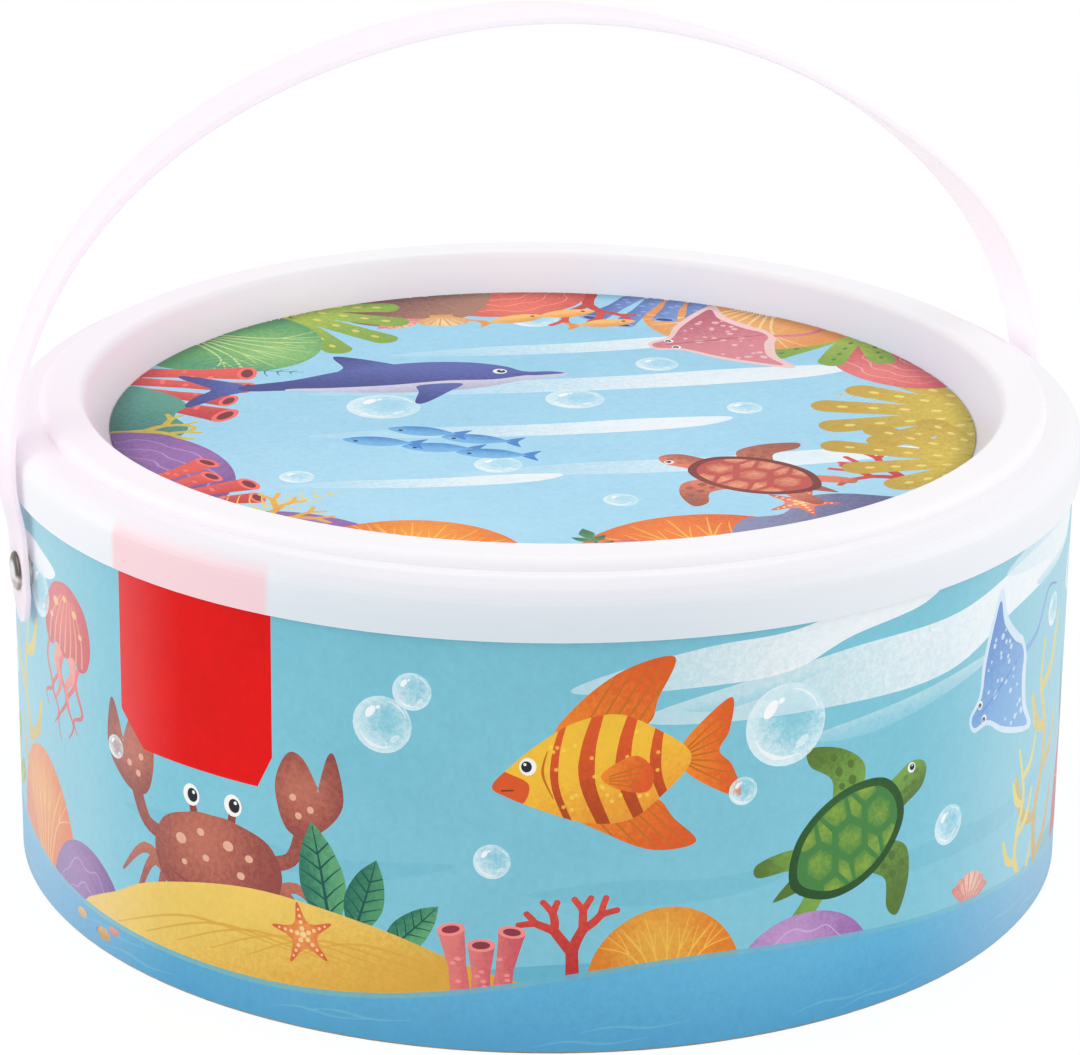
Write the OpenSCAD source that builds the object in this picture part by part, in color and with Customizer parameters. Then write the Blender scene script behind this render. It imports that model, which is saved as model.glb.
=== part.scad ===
// Magnetic fishing game packed in a round carrying drum.
// Origin on the drum's axis in the plane that it stands on. +Z is up, +X runs along the handle's hinge line.

/* [Drum] */
// Outer diameter of the wound board tube
tube_d = 197; // [150:1:240]
// Thickness of the tube's board
tube_wall = 2; // [1.5:0.1:3]
// Height of the tube
tube_h = 82.7; // [70:0.1:120]
// Thickness of the printed sheet round the tube
sheet_t = 0.3; // [0.2:0.05:0.5]
// Depth of the sheet's turn-in below the rim
turn_in = 14; // [8:1:16]
// Height of the sheet's lower edge above the foot
sheet_lift = 0.4; // [0.2:0.1:1]
// Thickness of the base board
base_t = 2; // [1.5:0.1:3]
// Height of the base board's underside above the foot
base_recess = 1.5; // [0.5:0.1:3]
// Thickness of the paper on the base board
liner_t = 0.2; // [0.1:0.05:0.4]
// Gap between the tube and a disc glued inside it
disc_gap = 0.05; // [0.02:0.01:0.2]

/* [Lid] */
// Wall of the lid's skirt
skirt_wall = 0.9; // [0.7:0.1:1.4]
// Gap between the skirt and the printed sheet
skirt_gap = 0.3; // [0.2:0.05:0.6]
// Depth of the skirt below the drum's rim
skirt_drop = 6.6; // [5:0.1:9]
// General wall of the lid
lid_wall = 1.2; // [0.9:0.1:1.6]
// Height of the bead's crest above the drum's rim
bead_rise = 5.9; // [5:0.1:8]
// Distance of the bead's outer side inside the skirt's outer face
bead_inset = 6.7; // [6:0.1:8]
// Width of the bead
bead_w = 7.9; // [6.5:0.1:10]
// Radius of the bead's outer edge
bead_round = 1.6; // [1:0.1:2]
// Radius of the bead's inner edge
bead_lip_round = 1.1; // [0.6:0.1:1.6]
// Height of the shoulder above the drum's rim
shoulder_rise = 3.5; // [3:0.1:4.2]
// Radius that turns the shoulder into the skirt
shoulder_round = 4.5; // [3.5:0.1:4.7]
// Depth of the panel's face below the bead's crest
panel_depth = 7.7; // [6:0.1:9]
// How far the inner wall leans in from top to bottom
wall_draft = 4.9; // [3:0.1:6]
// Depth of the locating ring below the drum's rim
ring_drop = 3.5; // [2:0.1:5]
// Number of ribs under the bead
rib_count = 24; // [8:4:36]
// Thickness of a rib
rib_t = 1; // [0.8:0.1:1.5]
// Thickness of the printed card disc on the panel
card_t = 0.4; // [0.2:0.05:0.8]

/* [Handle] */
// Depth of the hinge line below the skirt's lower edge
hinge_drop = 12.9; // [8:0.1:24]
// Thickness of the strap
strap_t = 1.7; // [1.4:0.1:2.4]
// Width of the strap at its ends
strap_w_end = 12; // [11:0.5:16]
// Width of the strap at its crown
strap_w_crown = 14; // [12:0.5:24]
// Length of the tab below the hinge line
tab_drop = 9.4; // [8:0.1:12]
// Straight height of the tab above the hinge line
tab_flat = 6; // [6:0.5:8]
// Height above the hinge line at which the arch starts
arch_start = 16; // [15:0.5:26]
// Rise of the arch's inner face above its start
arch_rise = 76; // [60:0.5:100]
// Gap between the strap and the lid's skirt where the arch starts
arch_gap = 1.5; // [0.8:0.1:3]
// Lean of the handle from upright as it stands
handle_lean = 11; // [0:1:30]

/* [Rivets] */
// Diameter of a rivet's shank
shank_d = 4; // [3:0.1:5]
// Diameter of a rivet's dome head
head_d = 8; // [7:0.1:9]
// Height of a rivet's dome head
head_h = 1.7; // [1.2:0.1:2.2]
// Diameter of a rivet's rolled tail
tail_d = 6.4; // [6:0.1:7]
// Length of a rivet's rolled tail
tail_t = 1; // [0.6:0.1:1.5]
// Radial clearance round a rivet's shank
bore_gap = 0.05; // [0.02:0.01:0.1]
// Side gap of the strap's tab against its spacer and its rivet's head
side_gap = 0.1; // [0.05:0.05:0.15]
// Diameter of a spacer washer
spacer_d = 10; // [9:0.5:12]
// Diameter of a backing washer
washer_d = 9; // [8:0.5:10]
// Thickness of a backing washer
washer_t = 0.9; // [0.6:0.1:1.2]
// Thickness of a spacer washer
spacer_t = 1.5; // [1.4:0.1:2.5]

/* [Game pieces] */
// Length of a sea animal
token_l = 54; // [44:1:56]
// Width of a sea animal's body
token_w = 36; // [30:1:38]
// Thickness of a sea animal
token_t = 8; // [5:0.5:8]
// Diameter of the steel disc in a sea animal
plate_d = 12; // [8:0.5:14]
// Thickness of the steel disc in a sea animal
plate_t = 2; // [1:0.1:2.5]
// Gap between a fishing rod's end and the drum's wall
rod_gap = 12; // [3:0.5:20]
// Diameter of a rod's dowel
dowel_d = 7; // [5:0.5:8]
// Diameter of a rod's grip
grip_d = 14; // [12:0.5:15]
// Length of a rod's grip
grip_l = 44; // [30:1:50]
// Distance between the two rods
rod_pitch = 28; // [24:1:30]
// Diameter of the hole for the line
line_hole_d = 3; // [2:0.1:3.5]
// Diameter of a bob
bob_d = 16; // [14:0.5:18]
// Height of a bob
bob_h = 14; // [12:0.5:16]
// Diameter of the magnet in a bob
magnet_d = 10; // [8:0.5:12]
// Thickness of the magnet in a bob
magnet_t = 3; // [2:0.1:4]
// Gap between the two bobs
bob_gap = 8; // [2:0.5:12]
// Gap between the bobs and the sea animals' middle ring
bob_room = 3.5; // [1:0.5:6]

/* [Print] */
// Height of a printed field above its sheet
ink_t = 0.06; // [0.04:0.01:0.1]
// Gap between the printed fields and a spacer washer's edge
seat_gap = 0.3; // [0.2:0.1:2]
// Mean height of the deep water's edge above the foot
deep_h = 11; // [8:0.5:20]
// Height of one wave of the deep water's edge
deep_wave = 5; // [2:0.5:6]
// Direction that the print's front faces, in degrees from +X
front_dir = -110.5; // [-180:0.5:180]
// Direction of the red panel's middle, in degrees from the print's front
panel_dir = -37.5; // [-80:0.5:80]
// Width of the red panel
red_w = 35; // [25:1:45]
// Height of the red panel's lower edge above the foot
red_low = 44; // [36:1:56]
// Size of the red panel's cut corners
red_cut = 6; // [3:0.5:9]

/* [Hidden] */

// Facets of a large and of a small circle
fine = 180;
small = 48;
eps = 0.01;

// Radii of the drum, from the inside out
inner_r = tube_d / 2 - tube_wall;
tube_r = tube_d / 2;
wrap_r = tube_r + sheet_t;
rim_z = tube_h + sheet_t;

// Radii and heights of the lid
skirt_in_r = wrap_r + skirt_gap;
lid_r = skirt_in_r + skirt_wall;
skirt_z = rim_z - skirt_drop;
crest_z = rim_z + bead_rise;
shoulder_z = rim_z + shoulder_rise;
hinge_z = skirt_z - hinge_drop;
bead_out_r = lid_r - bead_inset;
bead_in_r = bead_out_r - bead_w;
panel_r = bead_in_r - wall_draft;
panel_z = crest_z - panel_depth;
ring_out_r = inner_r - sheet_t - skirt_gap;
ring_in_r = ring_out_r - lid_wall;

// Planes across the hinge line, as distances from the drum's axis
spacer_x = wrap_r;
tab_x = spacer_x + spacer_t + side_gap;
head_x = tab_x + strap_t + side_gap;
arch_x = lid_r + arch_gap;
washer_x = sqrt(inner_r * inner_r - washer_d * washer_d / 4) - washer_t;
tail_x = washer_x - tail_t;
bore_r = shank_d / 2 + bore_gap;

// Levels of what lies inside
liner_z = base_recess + base_t;
floor_z = liner_z + liner_t;
layer_2_z = floor_z + token_t;
rods_z = layer_2_z + token_t + grip_d / 2;

// The bobs stand in the middle, and the sea animals lie midway between them and the wall
bob_x = (bob_d + bob_gap) / 2;
token_ring_r = (bob_x + bob_d / 2 + bob_room + inner_r) / 2;
rod_l = 2 * (sqrt(inner_r * inner_r - (rod_pitch + grip_d) * (rod_pitch + grip_d) / 4) - rod_gap);

// The print's layout. Directions are in degrees from its front, the rest in mm.
// Waves of the deep water's edge: [direction]
waves = [22, 142, 262];
// Streaks of light: [direction, height, half length, half height]
streaks = [[48, 65, 34, 5], [-128, 65, 40, 5], [118, 64, 36, 4.5]];
streak_turn = 3;
// Bubbles: [direction, height, radius]
bubbles = [[-16, 60, 5.2], [-12, 68, 3.2], [24.5, 54, 6], [49, 30, 3.8], [-66, 38, 3.5], [142, 34, 5]];
// Sand and corals that rise from behind the deep water: [direction, half width, top's height]
sand_heaps = [[-29, 34, 23], [154, 27, 19]];
orange_heaps = [[-67, 14, 31], [7, 12, 27], [116, 14, 22], [-158, 12, 21]];
purple_heaps = [[31, 13, 24], [-119, 13, 28]];
rose_heaps = [[85, 14, 30], [-136, 13, 24]];
// Pairs of leaves: [direction, height of the foot, length]
leaves = [[-5, 4, 30], [99, 4, 30], [-104, 4, 29], [64, 4, 30]];
// Animals: [direction, height, length, width, turn]
jelly_places = [[-59.5, 56, 32, 20, 90], [-152, 54, 36, 22, 90]];
turtle_place = [37, 38, 40, 34, 30];
gold_fish_place = [5, 50, 42, 26, 180];
blue_fish_place = [-124, 44, 42, 26, 8];
star_place = [140, 50, 24, 24, 90];
crab_place = [-36, 30, 24, 36, 90];
ray_place = [58, 52, 30, 34, -130];
dolphin_place = [108, 46, 52, 22, 12];

// The lid card's layout, seen with the print's front towards the viewer: x to the right and y away
// Streaks of light: [x, y, half length, half height]
card_streaks = [[8, 22, 46, 5], [-4, -6, 38, 4], [20, -24, 34, 4]];
card_streak_turn = 9;
// Bubbles: [x, y, radius]
card_bubbles = [[-30, 4, 7], [8, 6, 5], [22, 38, 4.2], [-22, -28, 4.4]];
// Corals that grow inwards from the edge: [direction, half width, height]
card_orange = [[58, 19, 22], [252, 19, 19], [294, 20, 21]];
card_purple = [[205, 21, 15], [229, 15, 12], [272, 15, 11]];
card_rose = [[30, 16, 13], [96, 18, 15], [168, 14, 15]];
card_green = [[130, 15, 22], [148, 14, 20], [188, 11, 12]];
card_gold = [[4, 18, 24], [344, 16, 22]];
card_clay = [[110, 12, 14], [321, 14, 14]];
// Animals: [x, y, length, width, turn]
card_turtle = [38, -28, 38, 30, 150];
card_dolphin = [-28, 22, 64, 24, 13];
card_ray = [32, 46, 34, 36, 200];

// Colours of board, plastic, metal, wood and print
board_col = "#cbb999";
plastic_col = "#f7f5f8";
steel_col = "#c9c9c6";
wood_col = "#dcbd8a";
water_col = "#86cbe0";
deep_col = "#5aa9cc";
pale_col = "#d3e8ee";
red_col = "#e3211f";
sand_col = "#efc45a";
orange_col = "#ee8630";
purple_col = "#9a6cb0";
rose_col = "#e66e6a";
leaf_col = "#4c9a68";
gold_col = "#f8c43e";
clay_col = "#b06a5c";
sky_col = "#6ea6de";

// Points of an arc about [x, y] from angle a to angle b
function arc(x, y, r, a, b, n = 8) = [for (k = [0:n]) let (t = a + (b - a) * k / n)
    [x + r * cos(t), y + r * sin(t)]];

// Points of an ellipse about [x, y], turned by angle t
function oval(x, y, rx, ry, t = 0, n = 28) = [for (k = [0:n - 1]) let (a = 360 * k / n)
    [x + rx * cos(a) * cos(t) - ry * sin(a) * sin(t), y + rx * cos(a) * sin(t) + ry * sin(a) * cos(t)]];

// Smooth step from 0 to 1
function smooth(s) = let (c = max(0, min(1, s))) c * c * (3 - 2 * c);

module ring(r_in, r_out, z, h, f = fine) {
    translate([0, 0, z])
        difference() {
            cylinder(r = r_out, h = h, $fn = f);
            translate([0, 0, -eps])
                cylinder(r = r_in, h = h + 2 * eps, $fn = f);
        }
}

// A cylinder along the hinge line on side s, from x to x + l
module hinge_rod(s, x, l, r) {
    translate([s * x, 0, hinge_z])
        rotate([0, s * 90, 0])
            cylinder(r = r, h = l, $fn = small);
}

module drum_wall() {
    color(board_col)
        difference() {
            ring(inner_r, tube_r, 0, tube_h);
            for (s = [-1, 1])
                hinge_rod(s, inner_r - 1, tube_wall + 2, bore_r);
        }
}

// A flat printed shape laid on the drum in direction a from the print's front, at height z and turned by t
module on_drum(a, z, t = 0, layer = 1) {
    intersection() {
        difference() {
            ring(wrap_r - sheet_t * (layer + 1) / 4, wrap_r + layer * ink_t, sheet_lift, rim_z - sheet_lift);
            for (s = [-1, 1])
                hinge_rod(s, inner_r, wrap_r - inner_r + spacer_t, spacer_d / 2 + seat_gap);
        }
        rotate([0, 0, front_dir + a])
            translate([wrap_r / 2, 0, z])
                rotate([90, 0, 90])
                    linear_extrude(wrap_r)
                        rotate(t)
                            children();
    }
}

module printed_sheet() {
    difference() {
        rotate_extrude($fn = fine)
            polygon([
                [tube_r, sheet_lift], [wrap_r, sheet_lift], [wrap_r, rim_z],
                [inner_r - sheet_t, rim_z], [inner_r - sheet_t, rim_z - turn_in],
                [inner_r, rim_z - turn_in], [inner_r, tube_h], [tube_r, tube_h]
            ]);
        for (s = [-1, 1])
            hinge_rod(s, inner_r - 1, tube_wall + 2, bore_r);
    }
}

// Rounded fields that rise from the drum's foot: coral, rock and sand
module heaps(rows) {
    for (f = rows)
        on_drum(f[0], 0)
            dome(f[1], f[2]);
}

module dome(r, h) {
    polygon(oval(0, 0, r, h));
}

// Lays its children, an animal of the size in its place, on the drum
module at_place(p, layer = 2) {
    on_drum(p[0], p[1], p[4], layer)
        children();
}

module leaf_pair(l) {
    for (s = [-1, 1])
        rotate(s * 20)
            polygon(oval(0, l / 2, l / 5, l / 2));
}

module deep_water() {
    low_h = deep_h - deep_wave;
    ring(wrap_r - sheet_t / 2, wrap_r + 2 * ink_t, sheet_lift, low_h - sheet_lift);
    for (a = waves)
        on_drum(a, low_h, 0, 2)
            polygon(oval(0, 0, wrap_r / 2, 2 * deep_wave));
}

module light_and_bubbles() {
    for (f = streaks)
        on_drum(f[0], f[1], streak_turn)
            polygon(oval(0, 0, f[2], f[3]));
    for (f = bubbles)
        on_drum(f[0], f[1])
            circle(r = f[2], $fn = small);
}

module red_panel() {
    on_drum(panel_dir, 0)
        polygon([
            [-red_w / 2, rim_z], [-red_w / 2, red_low + red_cut], [red_cut - red_w / 2, red_low],
            [red_w / 2 - red_cut / 2, red_low], [red_w / 2, red_low + red_cut], [red_w / 2, rim_z]
        ]);
}

module printed_wrap() {
    color(water_col)
        printed_sheet();
    color(deep_col)
        deep_water();
    color(red_col)
        red_panel();
    color(pale_col)
        light_and_bubbles();
    color(sand_col)
        heaps(sand_heaps);
    color(orange_col)
        heaps(orange_heaps);
    color(purple_col)
        heaps(purple_heaps);
    color(rose_col)
        heaps(rose_heaps);
    color(leaf_col)
        for (f = leaves)
            on_drum(f[0], f[1])
                leaf_pair(f[2]);
    color(rose_col)
        for (f = jelly_places)
            at_place(f)
                squid_outline(f[2], f[3]);
    color(leaf_col)
        at_place(turtle_place)
            turtle_outline(turtle_place[2], turtle_place[3]);
    color(gold_col) {
        at_place(gold_fish_place)
            fish_outline(gold_fish_place[2], gold_fish_place[3]);
        at_place(star_place)
            star_outline(star_place[2], star_place[3]);
    }
    color(clay_col)
        at_place(crab_place)
            crab_outline(crab_place[2], crab_place[3]);
    color(sky_col) {
        at_place(ray_place)
            ray_outline(ray_place[2], ray_place[3]);
        at_place(dolphin_place)
            whale_outline(dolphin_place[2], dolphin_place[3]);
        at_place(blue_fish_place)
            fish_outline(blue_fish_place[2], blue_fish_place[3]);
    }
}

module base_disc() {
    color(board_col)
        translate([0, 0, base_recess])
            cylinder(r = inner_r - disc_gap, h = base_t, $fn = fine);
}

module liner_disc() {
    color("white")
        translate([0, 0, liner_z])
            cylinder(r = inner_r - disc_gap, h = liner_t, $fn = fine);
}

// Half section of the lid, from the skirt's lower edge over the top to the axis and back below
module lid_section() {
    under_z = crest_z - lid_wall;
    polygon(concat(
        [[skirt_in_r, skirt_z], [lid_r, skirt_z]],
        arc(lid_r - shoulder_round, shoulder_z - shoulder_round, shoulder_round, 0, 90),
        [[bead_out_r, shoulder_z]],
        arc(bead_out_r - bead_round, crest_z - bead_round, bead_round, 0, 90),
        arc(bead_in_r + bead_lip_round, crest_z - bead_lip_round, bead_lip_round, 90, 150),
        [[panel_r, panel_z], [0, panel_z], [0, panel_z - lid_wall]],
        [[panel_r + lid_wall / 2, panel_z - lid_wall], [bead_in_r + lid_wall, under_z]],
        [[bead_out_r - lid_wall, under_z], [bead_out_r - lid_wall, shoulder_z - lid_wall]],
        [[ring_in_r, shoulder_z - lid_wall], [ring_in_r, rim_z - ring_drop]],
        [[ring_out_r, rim_z - ring_drop], [ring_out_r, rim_z], [skirt_in_r, rim_z]]
    ));
}

module lid_rib() {
    low_z = panel_z + lid_wall;
    slope = (bead_in_r - panel_r) / (crest_z - panel_z);
    rotate([90, 0, 0])
        linear_extrude(rib_t, center = true)
            polygon([
                [panel_r + slope * (low_z - panel_z) + lid_wall / 2, low_z], [ring_in_r + eps, low_z],
                [ring_in_r + eps, shoulder_z - lid_wall / 2],
                [bead_out_r - lid_wall / 2, shoulder_z - lid_wall / 2],
                [bead_out_r - lid_wall / 2, crest_z - lid_wall + eps],
                [bead_in_r + lid_wall / 2, crest_z - lid_wall + eps]
            ]);
}

module lid() {
    color(plastic_col) {
        rotate_extrude($fn = fine)
            lid_section();
        for (k = [0:rib_count - 1])
            rotate([0, 0, (k + 0.5) * 360 / rib_count])
                lid_rib();
    }
}

// A flat printed shape on the lid's card at [x, y], turned by t
module on_card(x, y, t = 0, layer = 1) {
    translate([0, 0, panel_z + card_t / 2])
        linear_extrude(card_t / 2 + layer * ink_t)
            intersection() {
                circle(r = panel_r - disc_gap - layer * ink_t, $fn = fine);
                rotate(front_dir + 90)
                    translate([x, y])
                        rotate(t)
                            children();
            }
}

// Domes that grow from the card's edge towards its middle
module card_domes(rows, layer = 1) {
    for (f = rows)
        on_card(panel_r * cos(f[0]), panel_r * sin(f[0]), f[0] + 90, layer)
            dome(f[1], f[2]);
}

module card_animal(p) {
    on_card(p[0], p[1], p[4], 2)
        children();
}

module card_light() {
    for (f = card_streaks)
        on_card(f[0], f[1], card_streak_turn)
            polygon(oval(0, 0, f[2], f[3]));
    for (f = card_bubbles)
        on_card(f[0], f[1])
            circle(r = f[2], $fn = small);
}

module lid_print() {
    color(water_col)
        translate([0, 0, panel_z])
            cylinder(r = panel_r - disc_gap, h = card_t, $fn = fine);
    color(pale_col)
        card_light();
    color(orange_col)
        card_domes(card_orange);
    color(leaf_col)
        card_domes(card_green);
    color(gold_col)
        card_domes(card_gold);
    color(clay_col)
        card_domes(card_clay);
    color(purple_col)
        card_domes(card_purple, 2);
    color(rose_col) {
        card_domes(card_rose, 2);
        card_animal(card_ray)
            ray_outline(card_ray[2], card_ray[3]);
    }
    color(clay_col)
        card_animal(card_turtle)
            turtle_outline(card_turtle[2], card_turtle[3]);
    color(sky_col)
        card_animal(card_dolphin)
            whale_outline(card_dolphin[2], card_dolphin[3]);
}

// Inner face of the strap as [distance from the axis, height above the hinge line]
function strap_leg(n = 10) = [for (k = [0:n]) let (v = -tab_drop + (arch_start + tab_drop) * k / n)
    [tab_x + (arch_x - tab_x) * smooth((v - tab_flat) / (arch_start - tab_flat)), v]];
function strap_arch(n = 28) = [for (k = [1:n]) let (a = 90 * k / n)
    [arch_x * cos(a), arch_start + arch_rise * sin(a)]];
function turn(d) = [d[1], -d[0]] / norm(d);
function shifted(p, w) = [for (k = [0:len(p) - 1])
    p[k] + w * turn(p[min(k + 1, len(p) - 1)] - p[max(k - 1, 0)])];
function mirrored(p) = [for (k = [len(p) - 2:-1:0]) [-p[k][0], p[k][1]]];
function reversed(p) = [for (k = [len(p) - 1:-1:0]) p[k]];

// The strap seen along the hinge line: round ends below, widening to the crown
module strap_side() {
    crown_v = arch_start + arch_rise + strap_t;
    end_r = strap_w_end / 2;
    rise = [for (k = [0:12]) [end_r + (strap_w_crown - strap_w_end) / 2 * sin(90 * k / 12), crown_v * k / 12]];
    polygon(concat(
        rise,
        [[strap_w_crown / 2, crown_v + 1], [-strap_w_crown / 2, crown_v + 1]],
        [for (q = reversed(rise)) [-q[0], q[1]]],
        arc(0, end_r - tab_drop, end_r, 180, 360, 16)
    ));
}

module handle() {
    inner = concat(strap_leg(), strap_arch());
    outer = shifted(inner, strap_t);
    band = concat(inner, mirrored(inner), reversed(mirrored(outer)), reversed(outer));
    color(plastic_col)
        difference() {
            translate([0, 0, hinge_z])
                rotate([-handle_lean, 0, 0])
                    intersection() {
                        rotate([90, 0, 0])
                            linear_extrude(2 * strap_w_crown, center = true)
                                polygon(band);
                        rotate([90, 0, 90])
                            linear_extrude(4 * arch_x, center = true)
                                strap_side();
                    }
            for (s = [-1, 1])
                hinge_rod(s, tab_x - 1, strap_t + 2, bore_r);
        }
}

// Solid rivet on side s: dome head outside, shank, rolled tail inside
module rivet(s) {
    dome_r = (head_d * head_d / 4 + head_h * head_h) / (2 * head_h);
    half = asin(head_d / 2 / dome_r);
    color(steel_col)
        translate([0, 0, hinge_z])
            rotate([0, s * 90, 0])
                rotate_extrude($fn = small)
                    polygon(concat(
                        [[0, tail_x], [tail_d / 2 - tail_t / 2, tail_x], [tail_d / 2, tail_x + tail_t / 2]],
                        [[tail_d / 2, washer_x], [shank_d / 2, washer_x]],
                        [[shank_d / 2, head_x], [head_d / 2, head_x]],
                        arc(0, head_x + head_h - dome_r, dome_r, 90 - half, 90, 10)
                    ));
}

module hinge_washer(s, x, t, d) {
    color(steel_col)
        difference() {
            hinge_rod(s, x, t, d / 2);
            hinge_rod(s, x - 1, t + 2, bore_r);
        }
}

// Length and width of the field on which the outlines of the sea animals are drawn
function draft() = [54, 36];

// Brings points drawn on that field to a length and a width
module fitted(p, l, w) {
    polygon([for (q = p) [q[0] * l / draft()[0], q[1] * w / draft()[1]]]);
}

// Outlines of sea animals of length l and width w, nose towards +X
module fish_outline(l, w) {
    fitted(oval(4, 0, 22, 18), l, w);
    fitted([[-12, 0], [-27, 12], [-22, 0], [-27, -12]], l, w);
}

module crab_outline(l, w) {
    fitted(oval(-3, 0, 18, 18), l, w);
    for (s = [-1, 1]) {
        fitted(oval(18, s * 12, 7, 7), l, w);
        fitted(oval(8, s * 12, 6, 6), l, w);
    }
}

module turtle_outline(l, w) {
    fitted(oval(-2, 0, 18, 15), l, w);
    fitted(oval(19, 0, 8, 6), l, w);
    for (s = [-1, 1]) {
        fitted(oval(9, s * 14, 9, 4.5, s * 50), l, w);
        fitted(oval(-15, s * 11, 7, 4, s * -40), l, w);
    }
}

module whale_outline(l, w) {
    fitted(oval(5, 0, 21, 17), l, w);
    for (s = [-1, 1])
        fitted(oval(-19, s * 8, 10, 5, s * -40), l, w);
}

module star_outline(l, w) {
    across = draft()[1] / draft()[0];
    fitted([for (k = [0:9]) let (r = k % 2 == 0 ? 26 : 13) [r * cos(36 * k), r * sin(36 * k) * across]], l, w);
}

module squid_outline(l, w) {
    fitted(oval(8, 0, 18, 13), l, w);
    for (k = [-1.5:1:1.5])
        fitted(oval(-15, 7 * k, 12, 3, -8 * k), l, w);
}

module ray_outline(l, w) {
    half = [[27, 0], [12, 6], [2, 18], [-8, 18], [-10, 6], [-12, 2], [-27, 0]];
    fitted(concat(half, [for (q = reversed(half)) [q[0], -q[1]]]), l, w);
}

function animal_dir(k) = 60 * ((k - 1) % 6);
function animal_z(k) = k > 6 ? layer_2_z : floor_z;

// Places its children where sea animal k lies
module at_animal(k) {
    rotate([0, 0, animal_dir(k)])
        translate([token_ring_r, 0, animal_z(k)])
            children();
}

module sea_animal(k) {
    kind = (k + (k > 6 ? 2 : 0)) % 6;
    cols = ["#f0932e", "#d9463c", "#59a548", "#3f77c2", "#f2c230", "#8d5fb4"];
    color(cols[kind])
        at_animal(k)
            difference() {
                linear_extrude(token_t) {
                    if (kind == 0) fish_outline(token_l, token_w);
                    if (kind == 1) crab_outline(token_l, token_w);
                    if (kind == 2) turtle_outline(token_l, token_w);
                    if (kind == 3) whale_outline(token_l, token_w);
                    if (kind == 4) star_outline(token_l, token_l);
                    if (kind == 5) squid_outline(token_l, token_w);
                }
                translate([0, 0, token_t - plate_t])
                    cylinder(r = plate_d / 2 + bore_gap, h = plate_t + 1, $fn = small);
            }
}

module steel_disc(k) {
    color(steel_col)
        at_animal(k)
            translate([0, 0, token_t - plate_t])
                cylinder(r = plate_d / 2, h = plate_t, $fn = small);
}

// Places its children on rod s, whose axis becomes Z with its grip's end at 0
module at_rod(s) {
    translate([-rod_l / 2, s * rod_pitch / 2, rods_z])
        rotate([0, 90, 0])
            children();
}

module rod_dowel(s) {
    color(wood_col)
        at_rod(s)
            translate([0, 0, grip_l / 2])
                cylinder(r = dowel_d / 2, h = rod_l - grip_l / 2 - grip_d / 2, $fn = small);
}

module rod_grip(s) {
    edge = grip_d / 4;
    color("#d9463c")
        at_rod(s)
            difference() {
                rotate_extrude($fn = small)
                    polygon(concat(
                        [[0, 0]],
                        arc(grip_d / 2 - edge, edge, edge, 270, 360, 6),
                        arc(grip_d / 2 - edge, grip_l - edge, edge, 0, 90, 6),
                        [[0, grip_l]]
                    ));
                translate([0, 0, grip_l / 2])
                    cylinder(r = dowel_d / 2 + bore_gap, h = grip_l, $fn = small);
            }
}

// Turned knob at the rod's tip, cross-drilled for the line
module rod_tip(s) {
    edge = grip_d / 3;
    color(wood_col)
        at_rod(s)
            translate([0, 0, rod_l - grip_d])
                difference() {
                    rotate_extrude($fn = small)
                        polygon(concat(
                            [[0, 0]],
                            arc(grip_d / 2 - edge, edge, edge, 270, 360, 6),
                            arc(grip_d / 2 - edge, grip_d - edge, edge, 0, 90, 6),
                            [[0, grip_d]]
                        ));
                    translate([0, 0, -1])
                        cylinder(r = dowel_d / 2 + bore_gap, h = grip_d / 2 + 1, $fn = small);
                    translate([0, 0, grip_d * 0.75])
                        rotate([0, 90, 0])
                            cylinder(r = line_hole_d / 2, h = 2 * grip_d, center = true, $fn = small);
                }
}

// Places its children where bob s stands between the sea animals
module at_bob(s) {
    translate([s * bob_x, 0, floor_z])
        children();
}

module bob(s) {
    edge = bob_d / 5;
    color("#3f77c2")
        at_bob(s)
            difference() {
                rotate_extrude($fn = small)
                    polygon(concat(
                        [[0, 0]],
                        arc(bob_d / 2 - edge, edge, edge, 270, 360, 6),
                        arc(bob_d / 2 - edge, bob_h - edge, edge, 0, 90, 6),
                        [[0, bob_h]]
                    ));
                translate([0, 0, -1])
                    cylinder(r = magnet_d / 2 + bore_gap, h = magnet_t + 1, $fn = small);
                translate([0, 0, magnet_t])
                    cylinder(r = line_hole_d / 2, h = bob_h, $fn = small);
            }
}

module bob_magnet(s) {
    color("dimgray")
        at_bob(s)
            cylinder(r = magnet_d / 2, h = magnet_t, $fn = small);
}

drum_wall();
printed_wrap();
base_disc();
liner_disc();
lid();
lid_print();
handle();
rivet(-1);  // rivet_left
rivet(1);  // rivet_right
hinge_washer(-1, spacer_x, spacer_t, spacer_d);  // spacer_left
hinge_washer(1, spacer_x, spacer_t, spacer_d);  // spacer_right
hinge_washer(-1, washer_x, washer_t, washer_d);  // backing_washer_left
hinge_washer(1, washer_x, washer_t, washer_d);  // backing_washer_right
for (k = [1:12]) {
    sea_animal(k);
    steel_disc(k);
}
for (s = [-1, 1]) {
    side = s < 0 ? "a" : "b";
    rod_dowel(s);
    rod_grip(s);
    rod_tip(s);
    bob(s);
    bob_magnet(s);
}
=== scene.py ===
import math
import random

import bmesh
import bpy
import numpy as np
from mathutils import Matrix, Vector
from mathutils.geometry import delaunay_2d_cdt


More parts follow.
